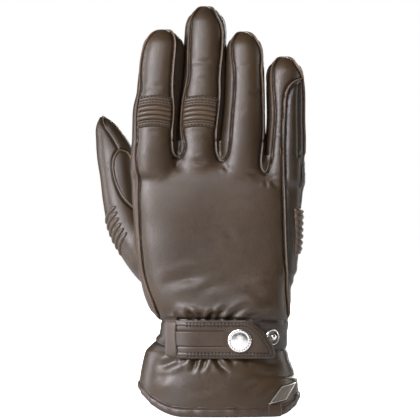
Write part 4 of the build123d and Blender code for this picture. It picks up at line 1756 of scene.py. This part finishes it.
def metal_material(name, colour, rough):
    """Plated metal with faint handling scratches."""
    material, nodes, links, shader = start_material(name)
    coords = nodes.new("ShaderNodeTexCoord").outputs["Object"]
    stretch = nodes.new("ShaderNodeMapping")
    stretch.inputs["Scale"].default_value = (1.0, 1.0, 9.0)
    links.new(coords, stretch.inputs["Vector"])
    scratch = noise_node(nodes, links, stretch.outputs["Vector"], 700.0, detail=5.0, roughness=0.7)
    links.new(map_range(nodes, links, scratch, rough * 0.7, rough * 1.5), shader.inputs["Roughness"])
    links.new(mix_colours(nodes, links, scratch, tuple(c * 0.85 for c in colour), colour),
              shader.inputs["Base Color"])
    bump = nodes.new("ShaderNodeBump")
    bump.inputs["Strength"].default_value = 0.08
    bump.inputs["Distance"].default_value = 0.0001
    links.new(scratch, bump.inputs["Height"])
    links.new(bump.outputs["Normal"], shader.inputs["Normal"])
    shader.inputs["Metallic"].default_value = 1.0
    return material


def cloth_material(name, dark, light, scale, depth):
    material, nodes, links, shader = start_material(name)
    loops = use_group(nodes, fibre_group, Loop_Scale=scale, Loop_Depth=depth)
    links.new(mix_colours(nodes, links, loops.outputs["Tone"], dark, light), shader.inputs["Base Color"])
    links.new(loops.outputs["Normal"], shader.inputs["Normal"])
    shader.inputs["Roughness"].default_value = 0.9
    shader.inputs["Sheen Weight"].default_value = 0.3
    return material


back_leather = leather_material("back leather", (0.026, 0.0145, 0.0055), (0.042, 0.024, 0.0105))
side_leather = leather_material("side leather", (0.016, 0.009, 0.0035), (0.026, 0.0145, 0.006))
palm_leather = leather_material("palm leather", (0.030, 0.0175, 0.0085), (0.044, 0.026, 0.014), grain=0.9,
                                crease=0.7,
                                rough=(0.42, 0.56))
cuff_leather = leather_material("cuff leather", (0.026, 0.0145, 0.0055), (0.042, 0.024, 0.0105),
                                rough=(0.32, 0.44))
band_leather = leather_material("band leather", (0.018, 0.010, 0.004), (0.028, 0.016, 0.007), crease=0.8)
thumb_inner_leather = leather_material("thumb panel leather", (0.018, 0.010, 0.003), (0.030, 0.017, 0.006))
strap_leather = leather_material("strap leather", (0.030, 0.017, 0.008), (0.046, 0.027, 0.014), seam=0.0,
                                 grain=0.4,
                                 crease=0.25)
keeper_leather = leather_material("keeper leather", (0.046, 0.030, 0.020), (0.066, 0.045, 0.032), seam=0.0)
trim_leather = leather_material("worn seam edge", (0.040, 0.022, 0.010), (0.150, 0.094, 0.055), seam=0.0,
                                grain=0.8,
                                crease=1.0, rough=(0.45, 0.6))
hem_leather = leather_material("hem leather", (0.032, 0.019, 0.011), (0.050, 0.031, 0.019), seam=0.0,
                               crease=0.9)
rib_leather = leather_material("stretch rib leather", (0.036, 0.021, 0.010), (0.062, 0.037, 0.019),
                               seam=0.0)
tab_leather = leather_material("tab leather", (0.034, 0.018, 0.010), (0.052, 0.028, 0.017), seam=0.0)
dark_thread = thread_material("dark thread", (0.009, 0.005, 0.003))
nickel = metal_material("polished nickel", (0.92, 0.90, 0.86), 0.2)
worn_nickel = metal_material("worn nickel", (0.62, 0.58, 0.52), 0.3)
dark_metal = metal_material("blackened metal", (0.20, 0.18, 0.15), 0.38)
lining_knit = cloth_material("lining knit", (0.022, 0.014, 0.009), (0.040, 0.027, 0.018), 420.0, 1.0)
elastic_cloth = cloth_material("elastic tape", (0.015, 0.013, 0.012), (0.03, 0.027, 0.024), 600.0, 1.4)


# ---------------------------------------------------------------- finish of every piece, and the bodies that some pieces are attached to
def finish_piece(piece, material):
    piece.data.materials.clear()
    piece.data.materials.append(material)


finish_piece(panels["back_panel"], back_leather)
finish_piece(panels["palm_panel"], palm_leather)
finish_piece(panels["thumb_root"], palm_leather)
finish_piece(panels["outer_side_panel"], side_leather)
finish_piece(panels["thumb_side_gusset"], back_leather)
finish_piece(panels["web_strips"], side_leather)
finish_piece(panels["index_side_strip"], back_leather)
finish_piece(panels["wrist_band"], band_leather)
finish_piece(panels["cuff_back"], cuff_leather)
finish_piece(panels["cuff_palm"], cuff_leather)
finish_piece(panels["thumb_back"], back_leather)
finish_piece(panels["thumb_inner_panel"], thumb_inner_leather)
for name, parts in finger_parts.items():
    for part in parts:
        if part.endswith("_back"):
            finish_piece(panels[part], back_leather)
        elif part.endswith("_palm_side"):
            finish_piece(panels[part], palm_leather)
        else:
            finish_piece(panels[part], side_leather)
for lip in lips.values():
    finish_piece(lip, trim_leather)
for piece in accordions.values():
    finish_piece(piece, rib_leather)
for piece in accordion_stitches.values():
    finish_piece(piece, dark_thread)
finish_piece(thumb_stitches, dark_thread)
finish_piece(thumb_accordion, rib_leather)
finish_piece(edge_patch, rib_leather)
finish_piece(strap, strap_leather)
finish_piece(strap_back, side_leather)
finish_piece(strap_stitches, dark_thread)
finish_piece(strap_anchor, strap_leather)
finish_piece(keeper, keeper_leather)
finish_piece(cap, nickel)
finish_piece(cap_ticks, dark_metal)
finish_piece(spare, nickel)
finish_piece(spare_dish, dark_metal)
finish_piece(spare_ball, nickel)
finish_piece(hem, hem_leather)
finish_piece(tab, tab_leather)
finish_piece(badge, worn_nickel)
finish_piece(badge_field, dark_metal)
finish_piece(elastic, elastic_cloth)
for piece in linings.values():
    finish_piece(piece, lining_knit)
for key in ("closed_stud", "snap_socket"):
    node = frame["nodes"][key]
    node.data.materials.clear()
    node.data.materials.append(worn_nickel)

for key in knuckle_panels:
    blend_knuckles(panels[key])
for key in wrist_panels:
    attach(panels[key], "hand")
for key in thumb_panels:
    blend_thumb(panels[key])
for name, parts in finger_parts.items():
    for part in parts:
        blend_finger(panels[part])
for key, lip in lips.items():
    skin = seam_lines[key][0]
    if skin != "hand":
        blend_finger(lip)
    elif key.startswith("thumb"):
        blend_thumb(lip)
    elif key.startswith("cuff"):
        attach(lip, "hand")
    else:
        blend_knuckles(lip)
for name in accordions:
    blend_finger(accordions[name])
    blend_finger(accordion_stitches[name])
for piece in (thumb_stitches, thumb_accordion):
    blend_thumb(piece)
blend_knuckles(linings["hand"])
blend_thumb(linings["thumb"])
for name in finger_rings:
    blend_finger(linings[name])
for piece in (strap, strap_back, strap_stitches):
    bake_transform(piece)
for piece in (cap, cap_ticks):
    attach(piece, "strap")
for piece in (edge_patch, strap_anchor, keeper, spare, spare_dish, spare_ball, hem, tab, badge, badge_field,
              elastic):
    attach(piece, "hand")

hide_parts("back_panel", "roots_back", "knuckle_crease_back")
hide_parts("palm_panel", "roots_palm", "knuckle_crease_palm")
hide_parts("outer_side_panel", "little_side_strip")
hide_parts("thumb_side_gusset")
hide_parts("thumb_root")
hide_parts("web_index_middle", "web_middle_ring", "web_ring_little")
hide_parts("index_side_strip")
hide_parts("wrist_band")
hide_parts("cuff_back")
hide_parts("cuff_palm")
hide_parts("thumb_back")
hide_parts("thumb_inner_panel")
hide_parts("thumb_accordion")
for name in finger_rings:
    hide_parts(f"{name}_back")
    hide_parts(f"{name}_palm_side")
    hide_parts(f"{name}_fourchettes")
    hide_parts(f"lining_{name}")
for name in accordions:
    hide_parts(f"{name}_accordion")
for name in ("ring", "little"):
    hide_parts(f"{name}_crease")
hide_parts("lining_hand", "lining_knuckles", "lining_roots")
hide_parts("lining_thumb")
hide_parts("palm_edge_patch", "palm_edge_foam")
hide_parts("strap_outer", "strap_fold")
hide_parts("strap_backing")
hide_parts("strap_anchor")
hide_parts("strap_keeper")
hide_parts("snap_cap")
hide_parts("spare_stud")
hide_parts("cuff_hem")
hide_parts("hem_tab")
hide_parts("cuff_badge")
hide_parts("wrist_elastic")

# ---------------------------------------------------------------- camera, light and floor
camera_distance = 1.6
camera_height = 125.4 * mm
camera_x = 6.2 * mm
camera_data = bpy.data.cameras.new("camera")
camera = bpy.data.objects.new("camera", camera_data)
bpy.context.scene.collection.objects.link(camera)
camera.location = (camera_x, hand_middle_y * mm - camera_distance, camera_height)
camera.rotation_euler = (math.radians(90), 0, 0)
camera_data.sensor_width = 36
view_width = 256.2 * mm
front_face_reach = 0.015
camera_data.lens = camera_data.sensor_width * (camera_distance - front_face_reach) / view_width
camera_data.clip_end = 50
bpy.context.scene.camera = camera


def area_light(name, place, aim, width, height, energy, colour):
    data = bpy.data.lights.new(name, "AREA")
    data.shape = "RECTANGLE"
    data.size = width
    data.size_y = height
    data.energy = energy
    data.color = colour
    light = bpy.data.objects.new(name, data)
    bpy.context.scene.collection.objects.link(light)
    light.location = place
    light.rotation_euler = (Vector(aim) - Vector(place)).to_track_quat("-Z", "Y").to_euler()
    return light


aim = (0.0, hand_middle_y * mm, 0.13)
area_light("left softbox", (-1.15, -1.05, 0.8), aim, 0.8, 1.2, 52, (0.93, 0.93, 1.0))
area_light("high front softbox", (-0.45, -1.9, 1.6), aim, 0.9, 0.7, 24, (0.98, 0.96, 1.0))
area_light("back softbox", (0.5, 1.7, 0.6), aim, 1.0, 1.0, 24, (1.0, 1.0, 1.0))
area_light("side strip", (-1.1, 0.25, 0.3), aim, 0.25, 1.0, 9, (0.9, 0.93, 1.0))
area_light("right strip", (1.1, 0.15, 0.25), aim, 0.12, 0.9, 4.0, (1.0, 0.96, 0.9))
area_light("small front card", (0.05, -1.75, 0.13), aim, 0.25, 0.25, 0.45, (1.0, 1.0, 1.0))

floor_size = 30
floor_brightness = 0.97
deselect_all()
bpy.ops.mesh.primitive_plane_add(size=floor_size)
floor = bpy.context.object
floor.name = "floor"
floor_material, floor_nodes, floor_links, floor_shader = start_material("pale floor")
floor_shader.inputs["Base Color"].default_value = (0.9, 0.9, 0.9, 1)
floor_shader.inputs["Roughness"].default_value = 0.9
floor_path = floor_nodes.new("ShaderNodeLightPath")
floor_glow = math_node(floor_nodes, floor_links, "MULTIPLY", floor_path.outputs["Is Camera Ray"],
                       floor_brightness)
floor_links.new(floor_glow, floor_shader.inputs["Emission Color"])
floor_shader.inputs["Emission Strength"].default_value = 1.0
floor.data.materials.append(floor_material)

world = bpy.data.worlds.new("studio")
bpy.context.scene.world = world
world.use_nodes = True
world_nodes, world_links = world.node_tree.nodes, world.node_tree.links
room = world_nodes["Background"]
room.inputs["Color"].default_value = (0.93, 0.95, 1.0, 1)
room.inputs["Strength"].default_value = 0.05
backdrop = world_nodes.new("ShaderNodeBackground")
backdrop.inputs["Color"].default_value = (1, 1, 1, 1)
backdrop.inputs["Strength"].default_value = 1.0
world_path = world_nodes.new("ShaderNodeLightPath")
world_mix = world_nodes.new("ShaderNodeMixShader")
world_links.new(world_path.outputs["Is Camera Ray"], world_mix.inputs["Fac"])
world_links.new(room.outputs["Background"], world_mix.inputs[1])
world_links.new(backdrop.outputs["Background"], world_mix.inputs[2])
world_links.new(world_mix.outputs["Shader"], world_nodes["World Output"].inputs["Surface"])
bpy.context.scene.view_settings.view_transform = "Standard"
